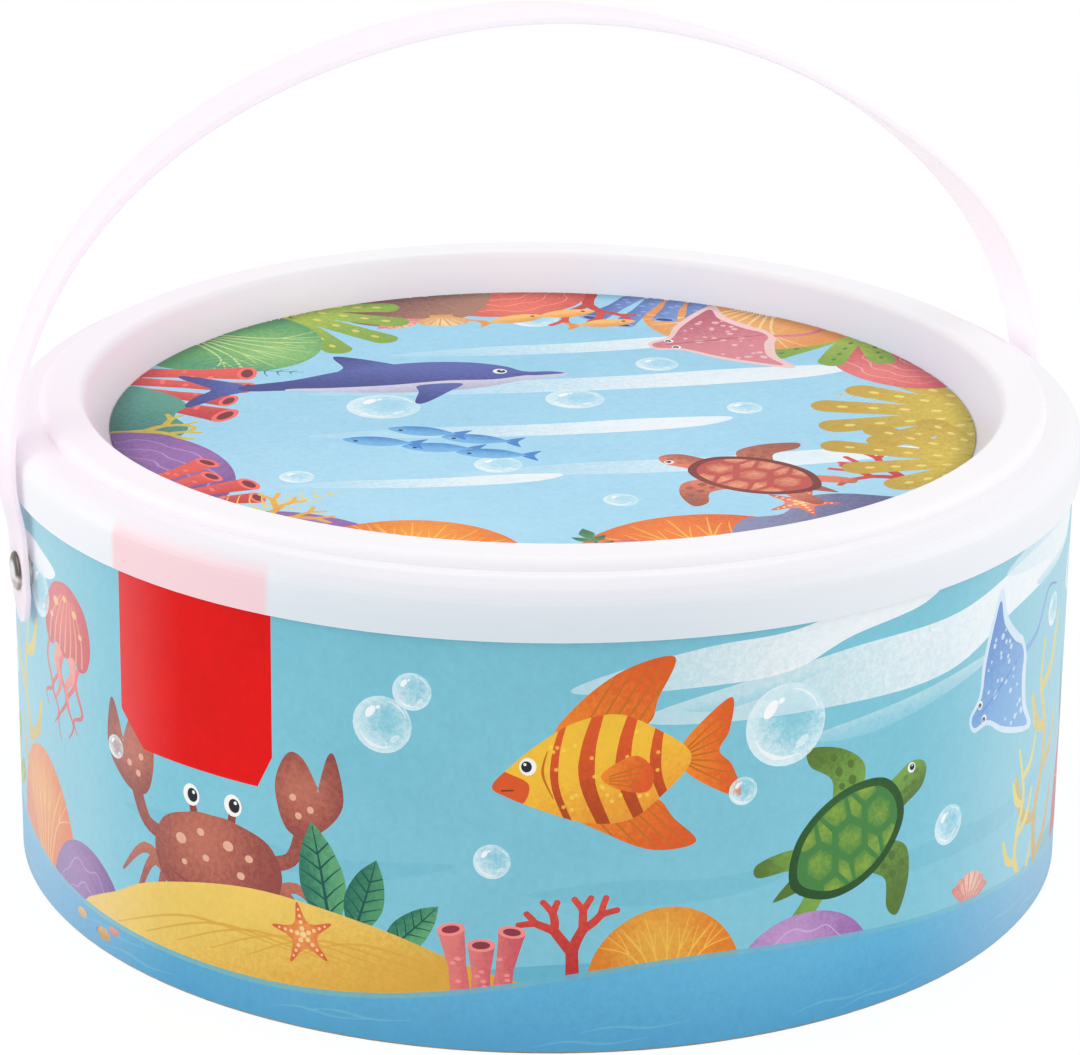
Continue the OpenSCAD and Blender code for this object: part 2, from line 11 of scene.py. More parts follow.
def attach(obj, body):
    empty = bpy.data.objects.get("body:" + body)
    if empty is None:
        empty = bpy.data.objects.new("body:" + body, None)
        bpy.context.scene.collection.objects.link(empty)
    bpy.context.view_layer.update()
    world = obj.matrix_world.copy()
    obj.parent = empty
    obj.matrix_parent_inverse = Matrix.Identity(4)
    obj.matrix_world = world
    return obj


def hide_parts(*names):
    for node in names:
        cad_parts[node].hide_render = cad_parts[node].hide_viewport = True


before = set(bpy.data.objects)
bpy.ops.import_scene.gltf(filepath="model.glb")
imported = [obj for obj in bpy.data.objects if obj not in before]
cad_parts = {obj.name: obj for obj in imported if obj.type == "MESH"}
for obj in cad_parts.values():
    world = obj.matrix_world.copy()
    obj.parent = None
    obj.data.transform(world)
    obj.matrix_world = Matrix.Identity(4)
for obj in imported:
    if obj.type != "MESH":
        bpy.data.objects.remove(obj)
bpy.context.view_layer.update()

MM = 0.001


def cosd(a):
    return math.cos(math.radians(a))


def sind(a):
    return math.sin(math.radians(a))


def add_object(name, data):
    made = bpy.data.objects.new(name, data)
    bpy.context.scene.collection.objects.link(made)
    return made


# The camera, as the photograph's outlines of lid and base give it
LENS_MM = 142.59
SENSOR_MM = 36.0
CAMERA_YAW = -20.5
CAMERA_ELEVATION = 20.2
CAMERA_ROLL = 0.70
CAMERA_DISTANCE = 0.8062
TARGET = Vector((-0.0003, 0.0001, 0.0600))


def make_camera():
    data = bpy.data.cameras.new("camera")
    data.lens = LENS_MM
    data.sensor_width = SENSOR_MM
    data.clip_start, data.clip_end = 0.05, 20.0
    camera = add_object("camera", data)
    level = cosd(CAMERA_ELEVATION)
    back = Vector((sind(CAMERA_YAW) * level, -cosd(CAMERA_YAW) * level, sind(CAMERA_ELEVATION)))
    turn = (-back).to_track_quat("-Z", "Y").to_matrix().to_4x4()
    roll = Matrix.Rotation(math.radians(CAMERA_ROLL), 4, "Z")
    camera.matrix_world = Matrix.Translation(TARGET + back * CAMERA_DISTANCE) @ turn @ roll
    bpy.context.scene.camera = camera


make_camera()

# Sizes in millimetres, and the strap's lean in degrees. The drum's and the lid's are the CAD model's,
# and the strap's and the fittings' are as the photograph shows them.
WRAP_R = 98.8
RIM_Z = 83.0
INNER_R = 96.2
TURN_IN_Z = 69.0
SHEET_LOW_Z = 0.4
CARD_R = 80.45
CARD_Z = 81.2
CARD_T = 0.4
LID_R = 100.0
HINGE_Z = 63.5
LEAN = 11.0
STRAP_T, LEG_T, STRAP_EDGE = 1.7, 1.15, 0.5
STRAP_END_W, STRAP_CROWN_W = 10.4, 13.2
TAB_X, ARCH_X = 99.8, 101.5
TAB_DROP, TAB_FLAT, ARCH_START, ARCH_RISE = 9.4, 6.0, 16.0, 76.0
BORE_R = 2.05
TAIL_X, WASHER_X, TAIL_R, SHANK_R = 94.495, 95.495, 3.2, 2.0
HEAD_R, HEAD_H, HEAD_EDGE = 3.6, 0.95, 0.2
SPACER_R = 3.0
SLIP, AXIS_R = 0.04, 0.02


# Node materials

def srgb(r, g, b):
    """A colour given as the eye reads it, 0 to 255, as a linear colour."""
    def line(c):
        c = c / 255
        return c / 12.92 if c <= 0.04045 else ((c + 0.055) / 1.055) ** 2.4
    return (line(r), line(g), line(b), 1.0)


def ratio(r, g, b):
    """A share of a colour as the eye reads it, as the factor of its linear values."""
    return (r ** 2.3, g ** 2.3, b ** 2.3, 1.0)


class Shader:
    """A material with its Principled shader, and short calls that add and link nodes."""

    def __init__(self, name, colour, rough=0.5, **sockets):
        self.material = bpy.data.materials.new(name)
        self.material.use_nodes = True
        self.tree = self.material.node_tree
        self.main = self.tree.nodes["Principled BSDF"]
        self.main.inputs["Base Color"].default_value = colour
        self.main.inputs["Roughness"].default_value = rough
        for key, value in sockets.items():
            self.main.inputs[key.replace("_", " ")].default_value = value

    def node(self, kind, links=None, **settings):
        made = self.tree.nodes.new(kind)
        for key, value in settings.items():
            if hasattr(made, key):
                setattr(made, key, value)
            else:
                made.inputs[key].default_value = value
        for key, source in (links or {}).items():
            self.tree.links.new(source, made.inputs[key])
        return made

    def coords(self):
        return self.node("ShaderNodeTexCoord").outputs["Object"]

    def xyz(self):
        return self.node("ShaderNodeSeparateXYZ", {"Vector": self.coords()}).outputs

    def noise(self, scale, detail=3.0, coords=None, rough=0.5):
        made = self.node("ShaderNodeTexNoise", {"Vector": coords or self.coords()}, Scale=scale,
            Detail=detail, Roughness=rough)
        return made.outputs["Fac"]

    def stretched(self, scale):
        return self.node("ShaderNodeMapping", {"Vector": self.coords()}, Scale=scale).outputs[0]

    def ramp(self, source, stops):
        made = self.node("ShaderNodeValToRGB", {"Fac": source})
        while len(made.color_ramp.elements) < len(stops):
            made.color_ramp.elements.new(0.5)
        for element, (place, colour) in zip(made.color_ramp.elements, stops):
            element.position = place
            element.color = colour if isinstance(colour, tuple) else (colour, colour, colour, 1)
        return made.outputs["Color"]

    def feed(self, *pairs):
        """Gives each socket its value, or links it where the value is a socket too."""
        for socket, value in pairs:
            if isinstance(value, bpy.types.NodeSocket):
                self.tree.links.new(value, socket)
            else:
                socket.default_value = value

    def mix(self, factor, a, b, blend="MIX"):
        made = self.node("ShaderNodeMix", data_type="RGBA", blend_type=blend)
        self.feed((made.inputs[0], factor), (made.inputs[6], a), (made.inputs[7], b))
        return made.outputs[2]

    def tint(self, a, b):
        return self.mix(1.0, a, b, "MULTIPLY")

    def math(self, kind, a, b=0.0, c=0.0):
        made = self.node("ShaderNodeMath", operation=kind)
        self.feed(*zip(made.inputs, (a, b, c)))
        return made.outputs[0]

    def times(self, a, b):
        return self.math("MULTIPLY", a, b)

    def span(self, source, low, high, to_low=0.0, to_high=1.0):
        """source mapped from low..high to to_low..to_high, with a smooth step."""
        ends = {"From Min": low, "From Max": high, "To Min": to_low, "To Max": to_high}
        made = self.node("ShaderNodeMapRange", {"Value": source}, interpolation_type="SMOOTHSTEP", **ends)
        return made.outputs["Result"]

    def radius(self, x, y):
        squares = [self.times(part, part) for part in (x, y)]
        return self.math("POWER", self.math("ADD", *squares), 0.5)

    def across(self, x, y):
        """Distance to the right of the drum's axis, as the photograph stands."""
        return self.math("ADD", self.times(x, cosd(CAMERA_YAW)), self.times(y, sind(CAMERA_YAW)))

    def join(self, other, links=None, **settings):
        """Mixes another shader into the material's own."""
        ends = {**(links or {}), 1: self.main.outputs[0], 2: other.outputs[0]}
        mixed = self.node("ShaderNodeMixShader", ends, **settings)
        self.tree.links.new(mixed.outputs[0], self.tree.nodes["Material Output"].inputs["Surface"])

    def paint(self, source):
        self.tree.links.new(source, self.main.inputs["Base Color"])

    def dull(self, source):
        self.tree.links.new(source, self.main.inputs["Roughness"])

    def bump(self, source, strength, distance):
        made = self.node("ShaderNodeBump", {"Height": source}, Strength=strength, Distance=distance)
        self.tree.links.new(made.outputs["Normal"], self.main.inputs["Normal"])


def dress(obj, *materials):
    obj.data.materials.clear()
    for material in materials:
        obj.data.materials.append(material)


# The print's flat drawing

def spline(a, b, c, d, t):
    return b + 0.5 * t * (c - a + t * (2 * a - 5 * b + 4 * c - d + t * (3 * (b - c) + d - a)))


def curve(points, closed=True, steps=6):
    """A smooth curve through points. A point given twice makes a corner."""
    count = len(points)
    last = count if closed else count - 1
    out = []
    for k in range(last):
        a, b, c, d = (points[(k + j) % count if closed else min(max(k + j, 0), count - 1)]
            for j in (-1, 0, 1, 2))
        for s in range(steps):
            t = s / steps
            out.append(tuple(spline(a[i], b[i], c[i], d[i], t) for i in (0, 1)))
    if not closed:
        out.append(tuple(points[-1]))
    return out


def ribbon(points, widths, steps=6, cap=True):
    """The outline of a stroke along a smooth path, whose width goes through widths from start to end."""
    path = curve(points, False, steps)
    widths = list(widths) if isinstance(widths, (list, tuple)) else [widths, widths]
    left, right = [], []
    for k, (x, y) in enumerate(path):
        ax, ay = path[max(k - 1, 0)]
        bx, by = path[min(k + 1, len(path) - 1)]
        long = math.hypot(bx - ax, by - ay) or 1.0
        place = k / (len(path) - 1) * (len(widths) - 1)
        low = min(int(place), len(widths) - 2)
        half = (widths[low] + (widths[low + 1] - widths[low]) * (place - low)) / 2
        dx, dy = (ay - by) / long * half, (bx - ax) / long * half
        left.append((x + dx, y + dy))
        right.append((x - dx, y - dy))
    ex, ey = path[-1][0] - path[-2][0], path[-1][1] - path[-2][1]
    long = math.hypot(ex, ey) or 1.0
    tip = widths[-1] / 2 / long
    return left + ([(path[-1][0] + ex * tip, path[-1][1] + ey * tip)] if cap else []) + right[::-1]


class Sheet:
    """A printed sheet, drawn flat in millimetres as closed outlines in layers."""

    def __init__(self, outline, light, dark, fade):
        self.outlines, self.inks = [], []
        self.ink(outline, light, dark, fade)

    def ink(self, outline, light, dark=None, fade=None, cover=1.0, within=None):
        """Adds a field. It fades from light to dark along the way from one point to another, or about
        a point out to a radius. cover is its opacity, or its opacities at the fade's two ends. within
        names a field that it is clipped to."""
        cover = cover if isinstance(cover, tuple) else (cover, cover)
        self.outlines.append(fine_ring(outline))
        self.inks.append((light, dark or light, fade, cover, within))
        return len(self.inks) - 1


class Pen:
    """Draws on a sheet about a place, with a size, turn and hand of its own."""

    def __init__(self, sheet, x, y, size=1.0, turn=0.0, flip=1):
        a = math.radians(turn)
        self.sheet, self.x, self.y, self.size = sheet, x, y, size
        self.ux, self.uy = size * math.cos(a), size * math.sin(a)
        self.vx, self.vy = -flip * self.uy, flip * self.ux

    def put(self, p):
        return (self.x + self.ux * p[0] + self.vx * p[1], self.y + self.uy * p[0] + self.vy * p[1])

    def shape(self, points, light, dark=None, fade=None, steps=6, **more):
        if fade:
            start, end = fade
            fade = (self.put(start), self.put(end) if isinstance(end, tuple) else end * self.size)
        ring = curve(points, True, steps) if steps else points
        return self.sheet.ink([self.put(p) for p in ring], light, dark, fade, **more)

    def oval(self, x, y, rx, ry, *inks, turn=0.0, **more):
        a = math.radians(turn)
        count = 28 if rx * self.size > 2 else 14
        ring = []
        for k in range(count):
            c, s = rx * math.cos(math.tau * k / count), ry * math.sin(math.tau * k / count)
            ring.append((x + c * math.cos(a) - s * math.sin(a), y + c * math.sin(a) + s * math.cos(a)))
        return self.shape(ring, *inks, steps=0, **more)

    def dots(self, places, squash, *inks, **more):
        for x, y, r in places:
            self.oval(x, y, r, squash * r, *inks, **more)

    def line(self, points, widths, *inks, steps=6, cap=True, **more):
        return self.shape(ribbon(points, widths, steps, cap), *inks, steps=0, **more)

    def eye(self, x, y, r):
        self.oval(x, y, r, r * 1.1, (250, 250, 246))
        self.oval(x + 0.15 * r, y, 0.62 * r, 0.7 * r, (40, 42, 52))
        self.oval(x + 0.3 * r, y + 0.3 * r, 0.18 * r, 0.18 * r, (250, 250, 246))


def fine_ring(ring, step=3.0):
    """A closed outline turned anticlockwise, with edges short enough to follow a round wall."""
    around = sum(a[0] * b[1] - b[0] * a[1] for a, b in zip(ring, ring[1:] + ring[:1]))
    if around < 0:
        ring = ring[::-1]
    out = []
    for a, b in zip(ring, ring[1:] + ring[:1]):
        count = max(1, math.ceil(math.hypot(b[0] - a[0], b[1] - a[1]) / step))
        out += [(a[0] + (b[0] - a[0]) * k / count, a[1] + (b[1] - a[1]) * k / count) for k in range(count)]
    return out


def both(points):
    return [points, [(x, -y) for x, y in points]]


def mirrored(points):
    """An outline that is alike above and below the x axis, from its upper half."""
    return points + [(x, -y) for x, y in reversed(points) if y]


def arc(rx, ry, start, stop, step):
    return [(rx * cosd(a), ry * sind(a)) for a in range(start, stop, step)]


def dim(colour, share):
    return tuple(int(share * c) for c in colour)


def lift(colour, by):
    return tuple(min(255, c + by) for c in colour)


def blend(a, b, share):
    return tuple(int((1 - share) * p + share * q) for p, q in zip(a, b))


# Motifs, drawn in millimetres with the nose towards +x, or growing towards +y

def bubble(pen, r):
    pen.oval(0, 0, r, r, (170, 222, 238), (228, 245, 250), ((0.18 * r, 0.12 * r), 1.15 * r),
        cover=(0.15, 0.95))
    for far, wide, cover, *sweep in ((0.8, 0.13, 0.8, 200, 291, 18), (0.86, 0.07, 0.7, 20, 81, 15)):
        bow = arc(far * r, far * r, *sweep)
        pen.line(bow, [0.02 * r, wide * r, 0.02 * r], (250, 253, 254), cover=cover)
    pen.oval(-0.4 * r, 0.42 * r, 0.13 * r, 0.25 * r, (255, 255, 255), turn=-35, cover=0.95)
    pen.oval(-0.14 * r, 0.6 * r, 0.06 * r, 0.09 * r, (255, 255, 255), turn=-50, cover=0.9)
    pen.oval(0.42 * r, -0.46 * r, 0.2 * r, 0.1 * r, (244, 251, 253), turn=40, cover=0.55)


def banded_fish(pen, body, band, fin):
    rays = dim(fin, 0.82)
    for points, stop in (([(9, 8), (4, 15), (-6, 21), (-16, 22), (-12, 14), (-8, 8)], (-16, 22)),
            ([(8, -8), (1, -14), (-8, -19), (-17, -19), (-13, -13), (-8, -7)], (-17, -19))):
        part = pen.shape(points, fin, band, ((0, 0), stop))
        sign = 1 if stop[1] > 0 else -1
        for k in range(6):
            x = 5 - 2.6 * k
            pen.line([(x, 7 * sign), (x - 4 - k, (13 + k) * sign), (x - 9 - k, (20 + k) * sign)],
                [0.5, 0.25], rays, within=part)
    tail = pen.shape(mirrored([(-15, 1.5), (-19, 6), (-27, 11), (-26, 4), (-23.5, 0)]), fin, band,
        ((-15, 0), (-28, 0)))
    for k in range(-3, 4):
        pen.line([(-16, 0.4 * k), (-21, 1.7 * k), (-28, 3.4 * k)], [0.5, 0.3], rays, within=tail)
    whole = pen.shape([(23, -1.4), (19, 2.6), (13, 7), (5, 11), (-4, 11.5), (-12, 6.5), (-17, 1.8),
        (-17, -1.8), (-12, -6.5), (-4, -11.5), (5, -11), (13, -7.6), (20, -4)], body,
        blend(body, band, 0.4), ((2, 3), (-2, -14)))
    for x, wide in ((9.5, 1.7), (3, 3.4), (-4.4, 3.2), (-11, 2.4)):
        pen.line([(x - 3, 13), (x, 5), (x + 0.8, -3), (x - 2, -13)], [0.6 * wide, wide, 0.7 * wide], band,
            dim(band, 0.8), ((0, 8), (0, -12)), within=whole)
    pen.shape([(25, 3), (18, 0.5), (15.5, -2), (18, -6), (26, -5)], band, within=whole)
    random.seed(4)
    for _ in range(26):
        x, y = random.uniform(-12, 12), random.uniform(-8.5, 8.5)
        pen.oval(x, y, 0.42, 0.42, lift(body, 22), within=whole, cover=0.75)
    pen.shape([(1, -1), (-6, 2.2), (-9.5, -1.5), (-8, -6), (-2, -4.5)], fin, band, ((1, 0), (-9, -4)))
    for k in range(4):
        pen.line([(-0.5, -1.6 - 0.5 * k), (-7.5 + 0.5 * k, -0.2 - 1.5 * k)], 0.3, rays)
    pen.line([(11.2, 5.4), (12.6, 0.6), (11, -5)], [0.2, 0.6, 0.2], rays, within=whole)
    pen.eye(15.4, 2.4, 1.75)
    pen.line([(21.2, -2.4), (18.8, -2.5)], 0.35, (120, 60, 30))


def turtle(pen, skin=(126, 168, 78), shell=(74, 134, 72), scute=(150, 176, 70)):
    dark = dim(skin, 0.72)
    for points in both([(7, 8), (12, 14), (9, 22), (2, 28), (0, 24), (3, 17), (0, 10)]):
        part = pen.shape(points, skin, dark, ((6, 8), points[3]))
        sign = 1 if points[0][1] > 0 else -1
        spots = ((7.5, 13, 1.1), (9, 17, 0.9), (5.5, 17.5, 1), (6, 21.5, 0.9), (3.2, 23.5, 0.7),
            (4.4, 13.6, 0.8))
        pen.dots([(x, y * sign, r) for x, y, r in spots], 1.25, dark, within=part)
    for points in both([(-12, 7), (-17, 10), (-23, 11), (-24, 8), (-18, 5), (-14, 3)]):
        pen.shape(points, skin, dark, ((-12, 6), (-24, 10)))
    pen.shape([(-16, 2), (-23, 0.5), (-23, -0.5), (-16, -2)], dark)
    head = pen.shape([(14, 3.6), (18, 4.4), (23, 4.2), (26.2, 1.6), (26.2, -1.4), (23, -4.2), (18, -4.4),
        (14, -3.6)], skin, dark, ((20, 3), (20, -5)))
    for x, y in ((20, 1.6), (18.6, -1.2), (21.6, -1.4), (23.4, 0.6)):
        pen.oval(x, y, 0.9, 0.7, dark, within=head, cover=0.6)
    rim = mirrored([(17, 0), (14.5, 7.2), (6, 12), (-4, 12.4), (-13, 8.6), (-18.5, 0)])
    pen.shape(rim, dim(shell, 0.8), dim(shell, 0.62), ((2, 3), 20))
    top = pen.shape([(0.87 * x, 0.84 * y) for x, y in rim], shell)
    cells = [[(x - 4.4, 0), (x - 2.4, 4.2), (x + 2.4, 4.2), (x + 4.4, 0), (x + 2.4, -4.2), (x - 2.4, -4.2)]
        for x in (-9.6, 0, 9.6)]
    cells += [[(x - 2.1, s * 5), (x - 4.3, s * 11.6), (x + 4.3, s * 11.6), (x + 2.1, s * 5)]
        for x in (-9.6, 0, 9.6) for s in (1, -1)]
    cells += [[(x - 1.9, s * 4.9), (x, s * 1.2), (x + 1.9, s * 4.9), (x + 0.4, s * 11), (x - 0.4, s * 11)]
        for x in (-4.8, 4.8) for s in (1, -1)]
    for cell in cells:
        mx, my = sum(p[0] for p in cell) / len(cell), sum(p[1] for p in cell) / len(cell)
        pen.shape([(mx + 0.86 * (x - mx), my + 0.86 * (y - my)) for x, y in cell], scute, shell,
            ((mx, my), 5.2), steps=0, within=top)
    pen.eye(22.6, 2.6, 1.25)


def crab(pen, body=(196, 118, 98), dark=(148, 76, 70)):
    for side in (1, -1):
        for x, y, ex, ey in ((11, -3, 25, -4), (10, -5, 22, -11), (8, -6, 17, -16)):
            knee = ((x + ex) / 2 * side, max(y, ey) + 3.4)
            pen.line([(x * side, y), knee, (ex * side, ey - 2)], [2.8, 2.2, 0.5], body, dark,
                ((0, 4), (0, -14)))
        pen.line([(10 * side, 4), (17 * side, 6), (20 * side, 13)], [3.4, 2.8, 3.2], body, dark,
            ((0, 10), (24 * side, 2)))
        claw = pen.shape([(18 * side, 11), (23 * side, 12), (28 * side, 18), (27 * side, 27),
            (25.4 * side, 27.6), (23.2 * side, 21), (23.2 * side, 21), (20.4 * side, 26.4),
            (17.2 * side, 27), (14.4 * side, 21), (15.4 * side, 14)], body, dark, ((20 * side, 20), 11))
        for x, y in ((19, 15), (21.5, 16.5), (18, 18.5)):
            pen.oval(x * side, y, 0.7, 0.7, (232, 176, 150), within=claw)
    for side in (1, -1):
        pen.line([(4 * side, 9), (4.8 * side, 13)], [2, 1.6], dark)
    shell = pen.shape([(-15, 1), (-12.5, 8), (-5, 11), (0, 11.4), (5, 11), (12.5, 8), (15, 1), (10.5, -6.5),
        (0, -9), (-10.5, -6.5)], body, dark, ((-3, 6), 19))
    pen.line([(-10, -2.4), (-4, -4.4), (4, -4.4), (10, -2.4)], [0.3, 0.9, 0.3], dark, within=shell)
    spots = ((-8, 5, 1.3), (-3, 7.4, 0.9), (3.4, 6, 1.2), (8, 4.4, 0.9), (-2, 2.4, 0.8), (6, 0.6, 0.9),
        (-7.4, 0.4, 0.7))
    pen.dots(spots, 0.85, (234, 180, 152), within=shell)
    for side in (1, -1):
        pen.eye(4.9 * side, 14.4, 2.0)


def jellyfish(pen, bell=(233, 110, 106), dark=(205, 72, 82)):
    for k, x in enumerate((-7.5, -3.8, 0, 3.8, 7.5)):
        sway = 1.8 if k % 2 else -1.8
        pen.line([(x, 1), (x + sway, -5), (x - sway, -11), (x + sway, -17 + abs(x) * 0.4),
            (x, -22 + abs(x) * 0.7)], [1.3, 1.1, 0.35], bell, dark, ((0, 0), (0, -20)))
    for x in (-2.4, 2.4):
        pen.line([(x, 1), (1.7 * x, -4), (0.6 * x, -8), (1.5 * x, -13)], [3, 2.6, 1.8, 0.6],
            (244, 158, 140), bell, ((0, 0), (0, -13)))
    dome = pen.shape([(-10.4, 1), (-11, 7), (-7.5, 13.6), (0, 16.4), (7.5, 13.6), (11, 7), (10.4, 1),
        (7.2, -1.2), (4, 0.6), (0, -1.2), (-4, 0.6), (-7.2, -1.2)], bell, dark, ((-2, 9), 13))
    for k in range(-3, 4):
        pen.line([(2.7 * k, 0), (2.4 * k, 6), (1.0 * k, 13)], [0.7, 0.5, 0.2], (246, 178, 120), within=dome,
            cover=0.8)
    spots = ((-5.4, 10.2, 1.3), (-1.2, 12.6, 0.9), (3.6, 11, 1.1), (6.6, 7, 0.8), (-7.4, 6, 0.9))
    pen.dots(spots, 0.8, (248, 190, 120), within=dome)


def ray(pen, back=(104, 160, 218), dark=(66, 112, 190), pale=(214, 232, 246)):
    pen.line([(-9, 0), (-20, 2.5), (-31, -2), (-38, 3)], [2.2, 1.1, 0.4], back, dark, ((-9, 0), (-38, 0)))
    wing = [(15, 2.4), (9.5, 5), (5, 12), (-3, 20), (-9, 23.5), (-8.4, 15), (-11, 7), (-13, 3)]
    whole = pen.shape(mirrored(wing), pale)
    inner = [(14.2, 1.6), (9, 3.8), (4, 10.8), (-3, 18), (-7.2, 21), (-6.4, 14), (-9, 6), (-11.6, 2)]
    top = pen.shape(mirrored(inner), back, dark, ((-2, 8), (-4, -22)), within=whole)
    random.seed(8)
    for _ in range(34):
        y = random.uniform(-15, 15)
        x = random.uniform(-7, 9 - 0.55 * abs(y))
        r = random.uniform(0.35, 0.85)
        pen.oval(x, y, r, r, pale, within=top, cover=0.85)
    pen.line([(12, 0), (0, 0), (-12, 0)], [0.4, 1.1, 0.4], dark, within=top, cover=0.7)
    for side in (1, -1):
        pen.eye(10.2, 2.3 * side, 1.05)


def dolphin(pen, back=(92, 104, 178), dark=(62, 70, 140), belly=(214, 210, 228)):
    pen.shape([(4, 8), (0, 13), (-7, 17.5), (-8.4, 16), (-7.4, 10), (-9, 6)], back, dark,
        ((0, 6), (-8, 18)))
    pen.shape([(-29, 1.6), (-34, 6), (-41, 10.5), (-42, 9), (-38, 3), (-37, 0), (-41, -4), (-43.6, -8.6),
        (-42, -9.6), (-35, -4.4), (-29, -1.6)], back, dark, ((-28, 0), (-42, 0)))
    whole = pen.shape([(38, -2.6), (35, -0.6), (29.5, 0.4), (26, 4.6), (19, 8.6), (8, 10.4), (-6, 8.4),
        (-19, 3.6), (-30, 1.6), (-30, -1.8), (-19, -3.4), (-6, -7.2), (8, -9.2), (20, -8), (28, -5.2),
        (36, -4.2)], back, dark, ((0, 11), (-4, -6)))
    pen.shape([(40, -3), (30, -2.2), (22, -3.6), (12, -2.6), (0, -3.4), (-12, -3), (-22, -2.6), (-12, -12),
        (8, -14), (30, -9)], belly, (180, 176, 206), ((0, -3), (0, -10)), within=whole)
    pen.line([(37, -2.4), (31, -2.2), (26.6, -1.2)], [0.3, 0.6, 0.3], dark)
    pen.shape([(15, -5), (11, -10), (5, -16), (3, -15.4), (5, -9), (6, -4.6)], back, dark,
        ((12, -4), (4, -16)))
    pen.eye(24.4, 1.4, 1.5)


def seahorse(pen, body=(240, 168, 60), dark=(214, 110, 40)):
    pen.shape([(-5.5, 8), (-10, 9), (-12, 4), (-10, -1), (-6, 0)], (248, 208, 110), dark,
        ((-5, 4), (-12, 4)))
    spine = [(2, 19), (-1.6, 13), (-3.4, 6), (-2.2, -2), (1.2, -9), (1.4, -16), (-3, -19.4), (-7, -16.6),
        (-6, -12.8), (-3.2, -13.4)]
    whole = pen.line(spine, [7, 5.6, 8.4, 9.4, 6.6, 4.6, 3.6, 2.8, 2, 1.2], body, dark, ((3, 4), (-6, 0)),
        steps=8)
    for k in range(12):
        y = 10 - 2.5 * k
        x = -3 + 0.02 * (y - 4) ** 2 if y > -12 else 0
        pen.line([(x - 6, y + 0.8), (x, y), (x + 6, y + 1.4)], 0.45, dark, within=whole, cover=0.7)
    pen.line([(3.4, 19), (9, 17.4), (12.6, 17)], [4.4, 2.6, 2.8], body, dark, ((6, 20), (6, 14)))
    pen.oval(1.8, 19.4, 4.6, 4, body, dark, ((2.6, 20.6), 6))
    for x, y in ((-2.2, 21.6), (-0.2, 23.6), (2.6, 24.4)):
        pen.line([(0.4 * x + 1.2, 20.6), (x, y + 1)], [2, 0.5], (248, 208, 110))
    pen.eye(3.4, 19.8, 1.4)


def starfish(pen, r, light=(244, 158, 84), dark=(222, 98, 64)):
    ring = [((r if k % 2 == 0 else 0.42 * r) * cosd(36 * k + 90),
        (r if k % 2 == 0 else 0.42 * r) * sind(36 * k + 90)) for k in range(10)]
    whole = pen.shape(ring, light, dark, ((0, 0), r))
    for arm in range(5):
        a = math.radians(72 * arm + 90)
        for k in range(1, 5):
            pen.oval(0.19 * k * r * math.cos(a), 0.19 * k * r * math.sin(a), (0.085 - 0.012 * k) * r,
                (0.085 - 0.012 * k) * r, (252, 214, 150), within=whole)
    pen.oval(0, 0, 0.1 * r, 0.1 * r, (252, 214, 150))


def scallop(pen, r, light=(250, 206, 180), dark=(224, 128, 116)):
    pen.shape([(-0.34 * r, -0.1 * r), (-0.34 * r, 0.3 * r), (0.34 * r, 0.3 * r), (0.34 * r, -0.1 * r)],
        dark, steps=0)
    ring = [(0, 0)]
    for k in range(7):
        for turn, reach in ((-7, 0.95), (0, 1.03), (7, 0.95)):
            a = math.radians(34 + 18.7 * k + turn)
            ring.append((reach * r * math.cos(a), reach * r * math.sin(a)))
    whole = pen.shape(ring, light, dark, ((0, 0.7 * r), 0.9 * r), steps=3)
    for k in range(8):
        a = math.radians(24.6 + 18.7 * k)
        pen.line([(0, 0), (r * math.cos(a), r * math.sin(a))], [0.02 * r, 0.07 * r], dark, within=whole)


def fan_dome(pen, r, h, light, dark, rib):
    """A rounded fan coral that stands on its base line."""
    ring = [(r * cosd(a) * (1 + 0.03 * math.sin(5 * a)), h * sind(a)) for a in range(0, 181, 15)]
    whole = pen.shape(ring + [(-0.9 * r, -0.25 * h), (0.9 * r, -0.25 * h)], light, dark,
        ((-0.1 * r, 0.55 * h), 1.05 * r))
    for k in range(-3, 4):
        bend = 0.27 * k * r
        pen.line([(0.05 * k * r, -0.2 * h), (0.55 * bend, 0.35 * h),
            (1.1 * bend, 0.93 * h * (1 - 0.05 * k * k))], [0.034 * r, 0.024 * r, 0.008 * r], rib,
            within=whole, cover=0.85)
        for side in (1, -1):
            pen.line([(0.6 * bend, 0.4 * h), (0.8 * bend + 0.06 * side * r, 0.6 * h),
                (0.95 * bend + 0.1 * side * r, 0.72 * h)], [0.02 * r, 0.006 * r], rib, within=whole,
                cover=0.8)


def mound(pen, r, h, light, dark, rib):
    """A low brain coral with winding furrows."""
    whole = pen.shape(arc(r, h, 0, 181, 18) + [(-0.9 * r, -0.3 * h), (0.9 * r, -0.3 * h)], light, dark,
        ((-0.2 * r, 0.6 * h), 1.1 * r))
    for row in range(1, 5):
        furrow = []
        for a in range(0, 181, 10):
            part, bend = 1 - 0.2 * row, 0.16 * a + 2 * row
            furrow.append((part * r * cosd(a) * (1 + 0.05 * math.sin(bend)),
                part * h * sind(a) * (1 + 0.07 * math.cos(bend)) - 0.06 * row * h))
        pen.line(furrow, [0.008 * r, 0.026 * r, 0.008 * r], rib, within=whole, cover=0.7, steps=3)


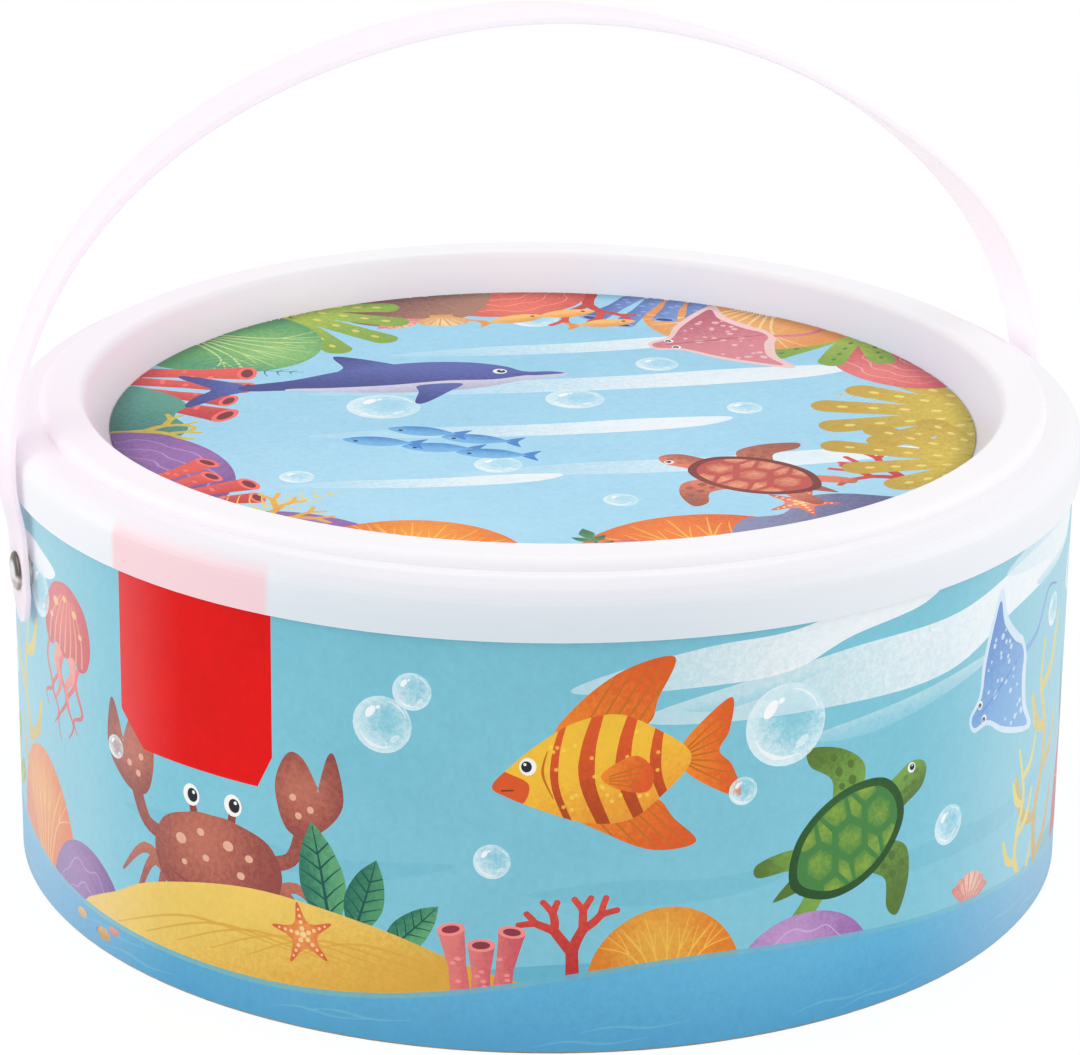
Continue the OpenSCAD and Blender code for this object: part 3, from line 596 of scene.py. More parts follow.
def branches(pen, h, light, dark, seed=1, width=2.4, spread=32.0, depth=4):
    """A branching coral with rounded tips."""
    rng = random.Random(seed)

    def grow(x, y, a, long, wide, left):
        ex, ey = x + long * sind(a), y + long * cosd(a)
        mx, my = (x + ex) / 2 + rng.uniform(-0.08, 0.08) * long, (y + ey) / 2
        pen.line([(x, y), (mx, my), (ex, ey)], [wide, 0.85 * wide], light, dark, ((0, h), (0, 0)), steps=3)
        pen.oval(ex, ey, 0.46 * wide, 0.46 * wide, light, dark, ((0, h), (0, 0)))
        if left:
            for side in (-1, 1) if left < depth else (-1.1, 0, 1.1):
                grow(ex, ey, a + side * spread * rng.uniform(0.7, 1.15), long * rng.uniform(0.62, 0.85),
                    0.8 * wide, left - 1)

    grow(0, 0, rng.uniform(-6, 6), 0.3 * h, width, depth - 1)


def tubes(pen, h, light, dark, hole=(120, 44, 52), seed=3, count=4):
    rng = random.Random(seed)
    for k in range(count):
        x = (k - (count - 1) / 2) * 0.22 * h
        lean = (k - (count - 1) / 2) * 0.13 * h
        top = h * rng.uniform(0.66, 1.0)
        wide = h * rng.uniform(0.13, 0.17)
        pen.line([(x, 0), (x + 0.4 * lean, 0.5 * top), (x + lean, top)], [1.5 * wide, 1.3 * wide, 2 * wide],
            light, dark, ((x - wide, 0), (x + 1.6 * wide, 0)), steps=4, cap=False)
        pen.oval(x + lean, top, 1.02 * wide, 0.5 * wide, lift(light, 18), turn=-8 * (k - 1.5))
        pen.oval(x + lean, top, 0.66 * wide, 0.3 * wide, hole, turn=-8 * (k - 1.5))
        for _ in range(4):
            pen.oval(x + 0.3 * lean + rng.uniform(-0.4, 0.4) * wide, top * rng.uniform(0.15, 0.75),
                0.035 * h, 0.022 * h, lift(light, 26), cover=0.8)


def leaf(pen, h, w, light, dark, rib):
    whole = pen.shape([(0, 0), (0.3 * w, 0.12 * h), (0.52 * w, 0.42 * h), (0.34 * w, 0.76 * h), (0, h),
        (0, h), (-0.36 * w, 0.74 * h), (-0.5 * w, 0.4 * h), (-0.28 * w, 0.12 * h)], light, dark,
        ((0.5 * w, 0), (-0.6 * w, 0)))
    pen.line([(0, -0.04 * h), (0.02 * w, 0.5 * h), (0, 0.96 * h)], [0.09 * w, 0.02 * w], rib, within=whole)
    for k in range(1, 6):
        y = 0.14 * k * h
        for side in (1, -1):
            pen.line([(0, y), (0.26 * side * w, y + 0.09 * h), (0.48 * side * w, y + 0.15 * h)],
                [0.05 * w, 0.015 * w], rib, within=whole)


def sprig(pen, h, light, dark, pairs=4, leaf_l=0.34, wide=0.16):
    """A stem with pairs of small oval leaves."""
    pen.line([(0, 0), (0.04 * h, 0.5 * h), (0, 0.94 * h)], [0.035 * h, 0.02 * h], dark)
    for k in range(pairs):
        y = (0.2 + 0.72 * k / pairs) * h
        for side in (1, -1):
            a = math.radians(46)
            long = leaf_l * h * (1 - 0.12 * k)
            tip = (side * long * math.sin(a), y + long * math.cos(a))
            pen.shape([(0, y), (0.3 * tip[0] - 0.5 * wide * h * side * 0.3, y + 0.62 * (tip[1] - y)), tip,
                tip, (0.72 * tip[0], y + 0.3 * (tip[1] - y))], light, dark, ((0, y), tip))
    pen.shape([(0, 0.82 * h), (0.07 * h, 0.94 * h), (0, 1.08 * h), (0, 1.08 * h), (-0.07 * h, 0.94 * h)],
        light, dark, ((0, 0.8 * h), (0, 1.1 * h)))


def weed(pen, h, light, dark, seed=2):
    """Seaweed with a winding stem and blunt side blades."""
    rng = random.Random(seed)
    stem = [(0.05 * h * math.sin(1.7 * k + seed), h * k / 6) for k in range(7)]
    pen.line(stem, [0.05 * h, 0.045 * h, 0.02 * h], light, dark, ((0, h), (0, 0)))
    for k in range(1, 6):
        x, y = stem[k]
        side = 1 if k % 2 else -1
        long = h * rng.uniform(0.2, 0.28)
        pen.line([(x, y - 0.03 * h), (x + side * 0.5 * long, y + 0.1 * long),
            (x + side * 0.8 * long, y + 0.75 * long)], [0.04 * h, 0.05 * h, 0.022 * h], light, dark,
            ((0, h), (0, 0)))


def ribbons(pen, h, light, dark, count=4, seed=5):
    """Kelp blades that wave."""
    rng = random.Random(seed)
    for k in range(count):
        x = (k - (count - 1) / 2) * 0.16 * h
        top = h * rng.uniform(0.6, 1.0)
        phase = rng.uniform(0, 6)
        stem = [(x * (1 + 0.16 * j) + 0.045 * h * math.sin(1.15 * j + phase), top * j / 7)
            for j in range(8)]
        part = pen.line(stem, [0.05 * h, 0.1 * h, 0.085 * h, 0.06 * h, 0.01 * h], light, dark,
            ((0, top), (0, 0)))
        pen.line(stem, [0.012 * h, 0.008 * h], dark, within=part, cover=0.7)


def fingers(pen, h, light, dark, spot, count=5, spread=120.0, wide=0.2):
    """Rounded fingers that open like a hand."""
    for k in range(count):
        a = math.radians((k - (count - 1) / 2) * spread / (count - 1))
        long = h * (1 - 0.12 * abs(k - (count - 1) / 2))
        ex, ey = long * math.sin(a), long * math.cos(a)
        pen.line([(0.1 * ex, 0.1 * ey), (0.5 * ex, 0.56 * ey), (ex, ey)],
            [0.5 * wide * h, 0.9 * wide * h, wide * h], light, dark, ((0, 0), 1.05 * h))
        pen.oval(ex, ey, 0.5 * wide * h, 0.5 * wide * h, light, dark, ((0, 0), 1.05 * h))
        for j in range(2, 6):
            s = 0.17 * j + 0.08
            pen.oval(s * ex, s * ey, 0.03 * h, 0.018 * h, spot, turn=90 - math.degrees(a), cover=0.85)


def feather(pen, h, colour, count=9, bend=0.2):
    """A fine feathery frond."""
    stem = [(bend * h * (k / 6) ** 2, h * k / 6) for k in range(7)]
    pen.line(stem, [0.024 * h, 0.01 * h], colour)
    for k in range(1, count):
        t = k / count
        x, y = bend * h * t * t, h * t
        for side in (1, -1):
            long = 0.34 * h * (1.05 - t)
            pen.line([(x, y), (x + side * 0.6 * long, y + 0.3 * long), (x + side * long, y + 0.75 * long)],
                [0.018 * h, 0.006 * h], colour, steps=3)


def minnow(pen, light, dark):
    pen.shape([(-4.4, 0), (-7.4, 2.4), (-6.6, 0), (-7.4, -2.4)], dark)
    pen.shape([(6, 0), (3, 1.9), (-1, 2.1), (-5, 0.3), (-5, -0.3), (-1, -2.1), (3, -1.9)], light, dark,
        ((0, 1), (0, -2.4)))
    pen.oval(3.8, 0.4, 0.4, 0.4, (45, 50, 60))


def rock(pen, w, h, light, dark):
    pen.shape([(-w, -2), (-0.94 * w, 0.5 * h), (-0.5 * w, 0.92 * h), (-0.1 * w, 0.78 * h), (0.35 * w, h),
        (0.8 * w, 0.66 * h), (w, -2)], light, dark, ((-0.3 * w, h), (0.5 * w, -2)))


def pebbles(pen, spread, count, tones, seed=9):
    rng = random.Random(seed)
    for _ in range(count):
        x = rng.uniform(-spread, spread)
        r = rng.uniform(0.9, 2.2)
        light = rng.choice(tones)
        pen.oval(x, rng.uniform(-1, 1), r, 0.62 * r, light, dim(light, 0.8), ((x, r), (x, -r)))


# The wall's print. PHI is the sheet's length for one degree about the drum, and HALF is half of its
# whole length. The colours stand in pairs, light and dark, and a third one is for veins.

PHI = math.radians(1) * WRAP_R
HALF = math.pi * WRAP_R
ORANGE, GOLD = ((246, 156, 52), (232, 112, 44)), (250, 196, 84)
AMBER = ((240, 176, 72), (226, 128, 44))
PURPLE, LILAC = ((158, 112, 176), (122, 82, 150)), (196, 156, 206)
PINK = ((236, 130, 126), (210, 90, 100))
RED = ((226, 84, 70), (190, 54, 54))
LEAF = ((88, 150, 104), (44, 110, 92))
FROND = ((104, 172, 120), (52, 122, 100), (34, 92, 84))
DARK_FROND = ((88, 158, 112), (44, 112, 94), (34, 92, 84))
LIME = ((182, 200, 82), (130, 168, 66))
OLIVE = ((226, 204, 84), (196, 160, 60))
SAND = ((244, 206, 104), (226, 172, 70))


def wave(s, low, parts):
    return low + sum(high * math.sin(k * s / WRAP_R + shift) for k, high, shift in parts)


def band(sheet, low, parts, *inks, **more):
    """A field from below the sheet up to a wavy edge, all round the drum."""
    steps = 240
    xs = [-HALF - 1 + (2 * HALF + 2) * k / steps for k in range(steps + 1)]
    sheet.ink([(-HALF - 1, -4), *((s, wave(s, low, parts)) for s in xs), (HALF + 1, -4)], *inks, **more)


def sand_bed(pen, outline, high, count, starts):
    """A low dune with wind ripples. starts gives the first ripple's points and the step up to the next."""
    bed = pen.shape(outline, *SAND, ((0, high), (8, -8)))
    for k in range(count):
        ripple = [(x + wide * k, y + step * k) for (x, y, step), wide in zip(starts, (8, 7, 8))]
        pen.line(ripple, [0.2, 0.5, 0.2], SAND[1], within=bed, cover=0.8)


def wall_sheet(top):
    outline = [(-HALF, SHEET_LOW_Z), (HALF, SHEET_LOW_Z), (HALF, top), (-HALF, top)]
    sheet = Sheet(outline, (126, 198, 216), (134, 202, 221), ((0, 84), (0, 6)))
    pale, blue = (214, 234, 240), (150, 210, 226)

    def pen(phi, z, size=1.0, turn=0.0, flip=1):
        return Pen(sheet, phi * PHI, z, size, turn, flip)

    # Pale streaks of light in the water
    for phi, z, long, high, turn in ((44, 66, 58, 6.4, 3), (24, 72, 36, 4.5, 6), (71, 73.5, 26, 4.2, 0),
            (-76, 68, 26, 4, -4), (118, 64, 46, 6, -3), (150, 72, 34, 4.4, 2), (-128, 66, 52, 6.2, 4),
            (-104, 73, 30, 4, -2), (-163, 60, 24, 4, 2)):
        p = pen(phi, z, 1, turn)
        p.shape([(-long, -0.3 * high), (-0.8 * long, 0.35 * high), (-0.35 * long, 0.75 * high),
            (0.1 * long, 0.6 * high), (0.55 * long, high), (long, 0.55 * high), (0.86 * long, -0.2 * high),
            (0.4 * long, -0.35 * high), (0.05 * long, -high), (-0.4 * long, -0.8 * high)], (244, 248, 251),
            pale, ((0.3 * long, high), (-0.9 * long, -high)), cover=(0.96, 0.72), steps=8)
        p.shape([(-0.5 * long, -1.5 * high), (-0.1 * long, -1.25 * high), (0.36 * long, -1.1 * high),
            (0.1 * long, -1.55 * high), (-0.3 * long, -1.9 * high)], pale, blue,
            ((0, -high), (0, -1.9 * high)), cover=0.7)
    # Softer, darker drifts low in the water
    for phi, z, long in ((-28, 32, 34), (14, 30, 26), (52, 26, 30), (100, 34, 36), (160, 30, 34),
            (-150, 34, 34), (-100, 32, 30)):
        pen(phi, z).shape([(-long, 0), (-0.4 * long, 2.4), (0.3 * long, 1.4), (long, 3), (0.6 * long, -1.4),
            (0, -2.6), (-0.6 * long, -1.8)], (112, 188, 210), cover=0.4)

    # Sea bed: a farther ridge, what grows on it, then the deep band in front
    band(sheet, 12.5, ((2, 3.2, 1.1), (5, 1.8, 0.4), (9, 0.8, 2.0)), (104, 184, 208), (88, 168, 198),
        ((0, 18), (0, 2)), cover=0.85)

    # Left of the panel
    weed(pen(-71.5, 8), 48, *OLIVE, 4)
    fan_dome(pen(-66, 11), 15, 20, *ORANGE, GOLD)
    mound(pen(-55.5, 3), 14, 16, *PURPLE, LILAC)
    jellyfish(pen(-58.8, 54, 0.82, -8))
    # Behind the sand under the panel
    crab(pen(-34.5, 25.5, 0.94, 2))
    leaf(pen(-21, 20, 1, 10), 20, 8.5, *FROND)
    leaf(pen(-18.5, 20, 1, -16), 15, 7, *DARK_FROND)
    leaf(pen(-15.4, 17, 1, -44), 14, 6, *FROND)
    sand_bed(pen(-26, 12), [(-46, -8), (-38, 3), (-22, 9.6), (-4, 12.6), (16, 10), (34, 4), (52, -2),
        (60, -8)], 12, 6, ((-40, -4, 0.9), (-20, 3.6, 0.5), (2, 2.4, -0.6)))
    starfish(pen(-24, 18, 1, 12), 6.2)
    # The middle
    banded_fish(pen(6.5, 53, 0.84, 186, -1), (250, 196, 62), (226, 92, 42), (244, 140, 46))
    branches(pen(3.5, 12), 24, *RED, 11, 2.5)
    fan_dome(pen(13, 13), 13.5, 14, *AMBER, GOLD)
    tubes(pen(-5.5, 9), 15, *PINK, (150, 58, 74), 6, 3)
    # The right
    turtle(pen(33, 34, 0.74, 30))
    ray(pen(56, 52, 0.74, 206), (110, 170, 224), (74, 128, 204))
    weed(pen(68, 4), 50, *OLIVE, 2)
    weed(pen(62, 4), 32, (236, 214, 96), OLIVE[0], 7)
    mound(pen(28, 10), 14, 12, LILAC, PURPLE[0], (214, 180, 220))
    scallop(pen(51, 12, 1, -12), 6.5)

    # Round the back, to the right
    fan_dome(pen(84, 8), 14, 24, *RED, (246, 150, 110))
    dolphin(pen(104, 48, 0.86, 12), (96, 128, 200), (66, 92, 168), (220, 228, 240))
    ribbons(pen(93, 2), 50, *LEAF, 4, 5)
    branches(pen(112, 10), 26, (244, 150, 120), PINK[1], 5, 2.6)
    mound(pen(124, 6), 16, 15, *AMBER, GOLD)
    seahorse(pen(141, 47, 0.95, 0))
    tubes(pen(136, 8), 18, *PURPLE, (84, 52, 110), 8, 4)
    sand_bed(pen(154, 11), [(-40, -8), (-28, 4), (-8, 9.4), (12, 8), (30, 2), (44, -8)], 10, 4,
        ((-30, -3, 1), (-12, 3, 0.5), (6, 1.4, 0)))
    scallop(pen(150, 18, 1, 8), 7, (250, 214, 196), (226, 140, 140))
    weed(pen(166, 12), 38, *LIME, 3)
    # Round the back, to the left
    for k, (phi, z) in enumerate(((-86, 50), (-90, 56), (-93, 47), (-97, 53), (-101, 58), (-103, 49))):
        minnow(pen(phi, z, 0.9, 4 * math.sin(k)), (252, 208, 110), (236, 140, 60))
    fingers(pen(-84, 10), 22, *LIME, (236, 214, 96), 5, 110)
    branches(pen(-95, 9), 30, *RED, 3, 2.8)
    leaf(pen(-106, 9, 1, 12), 30, 9, *FROND)
    leaf(pen(-103, 9, 1, -14), 25, 8, *DARK_FROND)
    banded_fish(pen(-124, 46, 0.86, 8), (150, 206, 120), (62, 140, 120), (246, 176, 70))
    fan_dome(pen(-119, 8), 14, 20, *PURPLE, LILAC)
    mound(pen(-134, 5), 16, 14, *PINK, (248, 176, 164))
    jellyfish(pen(-152, 52, 0.95, 8), (196, 150, 208), (150, 100, 176))
    tubes(pen(-147, 3), 27, *ORANGE, (150, 66, 30), 12, 4)
    starfish(pen(-158, 17, 1, 30), 6.6, (236, 110, 96), (206, 70, 70))
    ribbons(pen(-168.5, 1), 47, *LEAF, 4, 9)

    # The deep band and its pale crests
    edge = ((3, 4.6, 0.42), (1, 1.2, 0.5), (7, 0.6, 0.2))
    band(sheet, 11.6, edge, (112, 186, 210), cover=0.9)
    band(sheet, 10.6, edge, (103, 183, 221), (92, 170, 212), ((0, 16), (0, 1)))
    for k in range(26):
        phi = -180 + 360 * k / 26 + 5 * math.sin(3 * k)
        z = 3.2 + 1.5 * math.sin(2.3 * k)
        pen(phi, z).line([(-9, -0.4), (-3, 0.7), (4, 0.1), (11, 0.9)], [0.1, 0.55, 0.1], (128, 196, 220),
            cover=0.5)
    pebbles(pen(-52, 4.5), 9, 6, ((178, 140, 190), (226, 150, 140), (240, 190, 110)))

    # The red panel
    pen(-37.5, 0).shape([(-17.5, 99.6), (-17.5, 50), (-11.5, 44), (14.5, 44), (17.5, 50), (17.5, 99.6)],
        (231, 6, 5), steps=0)

    # Bubbles over the rest
    for phi, z, r in ((-12.5, 66, 3.4), (-15.5, 59.5, 5.2), (25, 58, 7.6), (20.5, 47, 2.6), (-4.5, 36, 3.2),
            (47, 30, 3.8), (-65.5, 62, 5.0), (70, 58, 3.2), (-48.8, 42, 2.2), (80, 60, 4.4), (124, 52, 6.4),
            (128, 62, 2.8), (156, 40, 4.6), (-80, 40, 3.4), (-110, 62, 5.2), (-138, 60, 6.2),
            (-141, 50, 2.4), (-166, 46, 4.2), (172, 60, 5.4), (92, 66, 2.6)):
        bubble(pen(phi, z), r)
    return sheet


# The lid's print: x to the right and y away, as the camera stands

def lid_sheet(radius):
    ring = [(radius * math.cos(math.tau * k / 240), radius * math.sin(math.tau * k / 240))
        for k in range(240)]
    sheet = Sheet(ring, (156, 212, 238), (174, 221, 243), ((0, 80), (0, -80)))

    def pen(x, y, size=1.0, turn=0.0):
        return Pen(sheet, x, y, size, turn)

    def rim(angle, depth, size=1.0, lean=0.0):
        """A pen at the disc's edge that grows towards its middle."""
        a = math.radians(angle)
        return Pen(sheet, (radius - depth) * math.cos(a), (radius - depth) * math.sin(a), size,
            angle + 90 + lean)

    # Slanting shafts of light
    for x, y, long, high, turn in ((8, 22, 54, 5.2, 9), (-4, -6, 40, 4.2, 7), (26, -24, 44, 4.6, 9),
            (4, 44, 34, 4, 10), (-22, -36, 26, 3, 6)):
        p = pen(x, y, 1, turn)
        p.shape([(-long, -0.2 * high), (-0.5 * long, 0.5 * high), (0.1 * long, 0.6 * high),
            (0.6 * long, high), (long, 0.9 * high), (0.8 * long, -0.3 * high), (0.2 * long, -0.9 * high),
            (-0.5 * long, -0.8 * high)], (246, 250, 252), (184, 224, 242), ((0.6 * long, 0), (-long, 0)),
            cover=(0.9, 0.6), steps=8)
    for x, y, r in ((-30, 6, 7), (6, 12, 5.6), (22, 34, 4.2), (-8, -26, 4.4), (38, 8, 3.4), (-2, 62, 5),
            (14, -44, 3.2), (-44, -34, 3.2)):
        bubble(pen(x, y), r)

    # Round the rim, from the right anticlockwise
    feather(rim(14, 2), 22, (214, 190, 84), 9, 0.15)
    fingers(rim(4, -8), 37, *OLIVE, (244, 226, 130), 6, 96, 0.19)
    mound(rim(28, 2), 17, 13, *PINK, (250, 180, 166))
    fingers(rim(42, -5), 25, *LIME, (90, 130, 60), 5, 110, 0.22)
    fan_dome(rim(58, 3), 22, 22, (244, 186, 118), (232, 148, 76), (252, 220, 160))
    tubes(rim(72, 0), 20, (120, 150, 206), (84, 112, 178), (50, 66, 120), 7, 4)
    branches(rim(83, 0), 26, *RED, 17, 2.8)
    mound(rim(97, 2), 18, 15, (236, 120, 100), (204, 78, 76), (250, 166, 140))
    rock(rim(112, 2), 17, 16, (176, 126, 104), (126, 82, 74))
    scallop(rim(108, 14, 1, -10), 7, (250, 220, 170), (224, 160, 96))
    scallop(rim(117, 13, 1, 12), 6, (250, 206, 180), (224, 128, 116))
    fingers(rim(129, -7), 33, *LIME, (238, 216, 110), 6, 104, 0.18)
    fan_dome(rim(145, 3), 19, 21, (150, 200, 120), (86, 156, 100), (206, 228, 150))
    feather(rim(156, 2), 26, (74, 148, 132), 11, -0.2)
    tubes(rim(168, -1), 24, (232, 92, 84), (196, 60, 62), (126, 40, 50), 5, 4)
    rock(rim(182, 2), 17, 13, (92, 158, 140), (56, 118, 110))
    branches(rim(188, 0), 22, *OLIVE, 21, 2.2)
    mound(rim(204, 3), 22, 15, *PURPLE, LILAC)
    tubes(rim(213, -1), 20, (236, 96, 86), (200, 64, 64), (126, 40, 50), 9, 4)
    feather(rim(225, 2), 24, (236, 208, 92), 10, 0.2)
    mound(rim(238, 3), 18, 12, *PURPLE, LILAC)
    branches(rim(230, 0), 24, (240, 190, 80), (226, 150, 60), 8, 2.0)
    fan_dome(rim(254, 3), 20, 19, *ORANGE, GOLD)
    mound(rim(268, 3), 17, 10, *PURPLE, LILAC)
    fan_dome(rim(292, 3), 24, 21, (246, 134, 56), (226, 96, 44), GOLD)
    mound(rim(280, 3), 17, 12, *PINK, (250, 180, 166))
    sprig(rim(279, 0, 1, 6), 20, (100, 152, 96), (56, 112, 84), 4)
    rock(rim(312, 2), 20, 17, (142, 144, 178), (98, 100, 142))
    branches(rim(334, 0), 30, *RED, 2, 2.6)
    fingers(rim(346, -7), 32, *OLIVE, (244, 226, 130), 5, 90, 0.2)
    starfish(rim(316, 17, 1, 8), 7, (246, 150, 120), (220, 96, 84))

    # Swimmers
    dolphin(pen(-30, 22, 0.92, 13))
    for x, y, turn in ((-12, -12, 170), (-19, -17, 176), (-22, -8, 168), (-30, -14, 172), (-9, -20, 174)):
        minnow(pen(x, y, 1.15, turn), (120, 186, 232), (70, 136, 206))
    turtle(pen(38, -30, 0.72, 150), (232, 130, 104), (196, 84, 76), (244, 172, 128))
    ray(pen(34, 50, 0.9, 200), (226, 140, 148), (190, 96, 116), (246, 206, 204))
    for x, y, turn in ((4, 66, 20), (-6, 62, 24), (12, 60, 16)):
        minnow(pen(x, y, 1.1, turn), (250, 196, 110), (236, 150, 70))
    return sheet


# The flat sheets become meshes

# How far the brush's grain shifts a fade, and the spacing of the points added inside a sheet
GRAIN_SHIFT = 0.13
GRID = 3.0


def smooth_step(t):
    t = np.clip(t, 0, 1)
    return t * t * (3 - 2 * t)


def linear(colours):
    c = np.clip(colours / 255, 0, 1)
    return np.where(c <= 0.04045, c / 12.92, ((c + 0.055) / 1.055) ** 2.4)


def cut_sheet(name, sheet, grid, place, normal):
    """Cuts all of a sheet's outlines together into triangles. Each corner keeps the colours of the
    fields over it twice, for the light and the dark side of the brush's grain."""
    points, faces = [], []
    for ring in sheet.outlines:
        faces.append(list(range(len(points), len(points) + len(ring))))
        points.extend(ring)
    points.extend(grid)
    cut = delaunay_2d_cdt([Vector(p) for p in points], [], faces, 1, 1e-4, True)
    kept = [(t, o) for t, o in zip(cut[2], cut[5]) if 0 in o and len(t) == 3]
    flat = np.array([v[:] for v in cut[0]])
    tri = np.array([t for t, _ in kept])
    corner = flat[tri]
    fields = [[] for _ in sheet.inks]
    for f, (_, owners) in enumerate(kept):
        for k in owners:
            fields[k].append(f)
    tones = [np.zeros(corner.shape[:2] + (3,)) for _ in range(2)]
    for (light, dark, fade, cover, within), field in zip(sheet.inks, fields):
        f = np.array(field, int)
        if within is not None:
            f = f[np.isin(f, np.array(fields[within], int))]
        if not len(f):
            continue
        if fade is None:
            t = np.zeros(corner[f].shape[:2])
        elif isinstance(fade[1], tuple):
            way = np.array(fade[1]) - np.array(fade[0])
            t = (corner[f] - np.array(fade[0])) @ way / (way @ way)
        else:
            t = np.linalg.norm(corner[f] - np.array(fade[0]), axis=2) / fade[1]
        for tone, shift in zip(tones, (-GRAIN_SHIFT, GRAIN_SHIFT)):
            s = smooth_step(t + (shift if fade else 0))[..., None]
            colour = np.array(light) + (np.array(dark) - np.array(light)) * s
            tone[f] += (colour - tone[f]) * (cover[0] + (cover[1] - cover[0]) * s)
    mesh = bpy.data.meshes.new(name)
    used, back = np.unique(tri, return_inverse=True)
    mesh.from_pydata([place(*flat[k]) for k in used], [], back.reshape(-1, 3).tolist())
    for key, tone in zip(("tone_light", "tone_dark"), tones):
        data = mesh.color_attributes.new(key, "FLOAT_COLOR", "CORNER").data
        rgba = np.ones((len(kept) * 3, 4), np.float32)
        rgba[:, :3] = linear(tone).reshape(-1, 3)
        data.foreach_set("color", rgba.ravel())
    mesh.shade_smooth()
    mesh.normals_split_custom_set_from_vertices([normal(*flat[k]) for k in used])
    mesh.validate()
    return add_object(name, mesh)


# The wrap's section: from its foot up the wall, over the rim and down inside, as radius and height
FOLD_R = 0.3
BEND = 0.3 * FOLD_R
FOLD = [(WRAP_R, SHEET_LOW_Z), (WRAP_R, RIM_Z - FOLD_R), (WRAP_R - BEND, RIM_Z - BEND),
    (WRAP_R - FOLD_R, RIM_Z), (INNER_R + FOLD_R, RIM_Z), (INNER_R + BEND, RIM_Z - BEND),
    (INNER_R, RIM_Z - FOLD_R), (INNER_R, TURN_IN_Z)]
FOLD_AT = [SHEET_LOW_Z]
for (r0, z0), (r1, z1) in zip(FOLD, FOLD[1:]):
    FOLD_AT.append(FOLD_AT[-1] + math.hypot(r1 - r0, z1 - z0))


def on_wall(s, v):
    angle = math.radians(-90 + CAMERA_YAW) + s / WRAP_R
    r = float(np.interp(v, FOLD_AT, [p[0] for p in FOLD]))
    z = float(np.interp(v, FOLD_AT, [p[1] for p in FOLD]))
    return (MM * r * math.cos(angle), MM * r * math.sin(angle), MM * z)


def wall_normal(s, v):
    angle = math.radians(-90 + CAMERA_YAW) + s / WRAP_R
    over = float(np.interp(v, [FOLD_AT[1], FOLD_AT[3], FOLD_AT[4], FOLD_AT[6]], [0, 90, 90, 180]))
    level = cosd(over)
    return (level * math.cos(angle), level * math.sin(angle), sind(over))


def on_lid(x, y):
    """The lid's card: flat, and its last strip folds down as the card's edge."""
    far = math.hypot(x, y)
    turn = math.atan2(y, x) + math.radians(CAMERA_YAW)
    r, z = min(far, CARD_R), CARD_Z + CARD_T - max(0.0, far - CARD_R)
    return (MM * r * math.cos(turn), MM * r * math.sin(turn), MM * z)


def lid_normal(x, y):
    if math.hypot(x, y) < CARD_R + 0.01:
        return (0, 0, 1)
    turn = math.atan2(y, x) + math.radians(CAMERA_YAW)
    return (math.cos(turn), math.sin(turn), 0)


def grid_points(x0, x1, dx, ys):
    count = round((x1 - x0) / dx)
    return [(x0 + (x1 - x0) * k / count, y) for k in range(count + 1) for y in ys]


def make_prints():
    heights = list(np.linspace(SHEET_LOW_Z, FOLD_AT[1], 28)) + FOLD_AT[2:-1]
    heights += [FOLD_AT[6] + 4, FOLD_AT[6] + 9, FOLD_AT[-1]]
    wall = cut_sheet("print_sheet", wall_sheet(FOLD_AT[-1]), grid_points(-HALF, HALF, GRID, heights),
        on_wall, wall_normal)
    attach(wall, "root")
    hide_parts("printed_wrap")
    square = grid_points(-CARD_R, CARD_R, GRID, np.arange(-CARD_R, CARD_R, GRID))
    inside = [p for p in square if math.hypot(*p) < CARD_R - 1]
    # Two close rings keep the card's fold crisp
    for far in (CARD_R, CARD_R + 0.03):
        inside += [(far * cosd(a), far * sind(a)) for a in np.arange(0, 360, 0.5)]
    card = cut_sheet("lid_card", lid_sheet(CARD_R + CARD_T), inside, on_lid, lid_normal)
    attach(card, "lid_body")
    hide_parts("lid_print")
    return wall, card


def print_material(name, rough, coat, reflection_veil, shaded_rim=False, pale_ends=False):
    """Gouache-like print: the brush's grain where colours fade, mottled tone, and a thin varnish."""
    varnish = {"Specular_IOR_Level": 0.0, "Coat_Weight": coat, "Coat_Roughness": 0.22}
    shade = Shader(name, (0.5, 0.5, 0.5, 1), rough, **varnish)
    tones = [shade.node("ShaderNodeAttribute", attribute_name=key).outputs["Color"]
        for key in ("tone_light", "tone_dark")]
    grain = shade.span(shade.noise(1100, 5, rough=0.75), 0.40, 0.60)
    colour = shade.mix(grain, *tones)
    blotch = shade.ramp(shade.noise(34, 4, rough=0.6), [(0.32, (0.93, 0.965, 0.975, 1)),
        (0.5, (1, 1, 1, 1)), (0.7, (1.05, 1.02, 1.01, 1))])
    fleck = shade.ramp(shade.noise(620, 4, rough=0.7), [(0.3, 0.955), (0.5, 1.0), (0.72, 1.04)])
    colour = shade.tint(shade.tint(colour, blotch), fleck)
    # A painted reflection: an even whitish veil over the print
    if reflection_veil:
        colour = shade.mix(reflection_veil, colour, (0.9, 0.92, 0.95, 1))
    x, y, _ = shade.xyz()
    if pale_ends:
        # The side lamps' sheen on the varnish, where the wall turns towards them
        aside = shade.math("ABSOLUTE", shade.across(x, y))
        colour = shade.mix(shade.span(aside, MM * 60, MM * 99, 0.0, 0.32), colour, srgb(236, 244, 250))
    if shaded_rim:
        far = shade.radius(x, y)
        colour = shade.mix(shade.span(far, MM * (CARD_R - 5), MM * CARD_R), colour, (0.66, 0.66, 0.70, 1),
            "MULTIPLY")
    shade.paint(colour)
    shade.dull(shade.span(shade.noise(90, 3), 0.3, 0.7, rough - 0.05, rough + 0.06))
    shade.bump(shade.noise(1500, 3), 0.06, 0.00004)
    return shade.material


wall_print, card_print = make_prints()
dress(wall_print, print_material("printed_paper", 0.42, 0.34, 0, pale_ends=True))
dress(card_print, print_material("printed_card", 0.36, 0.3, 0.02, shaded_rim=True))


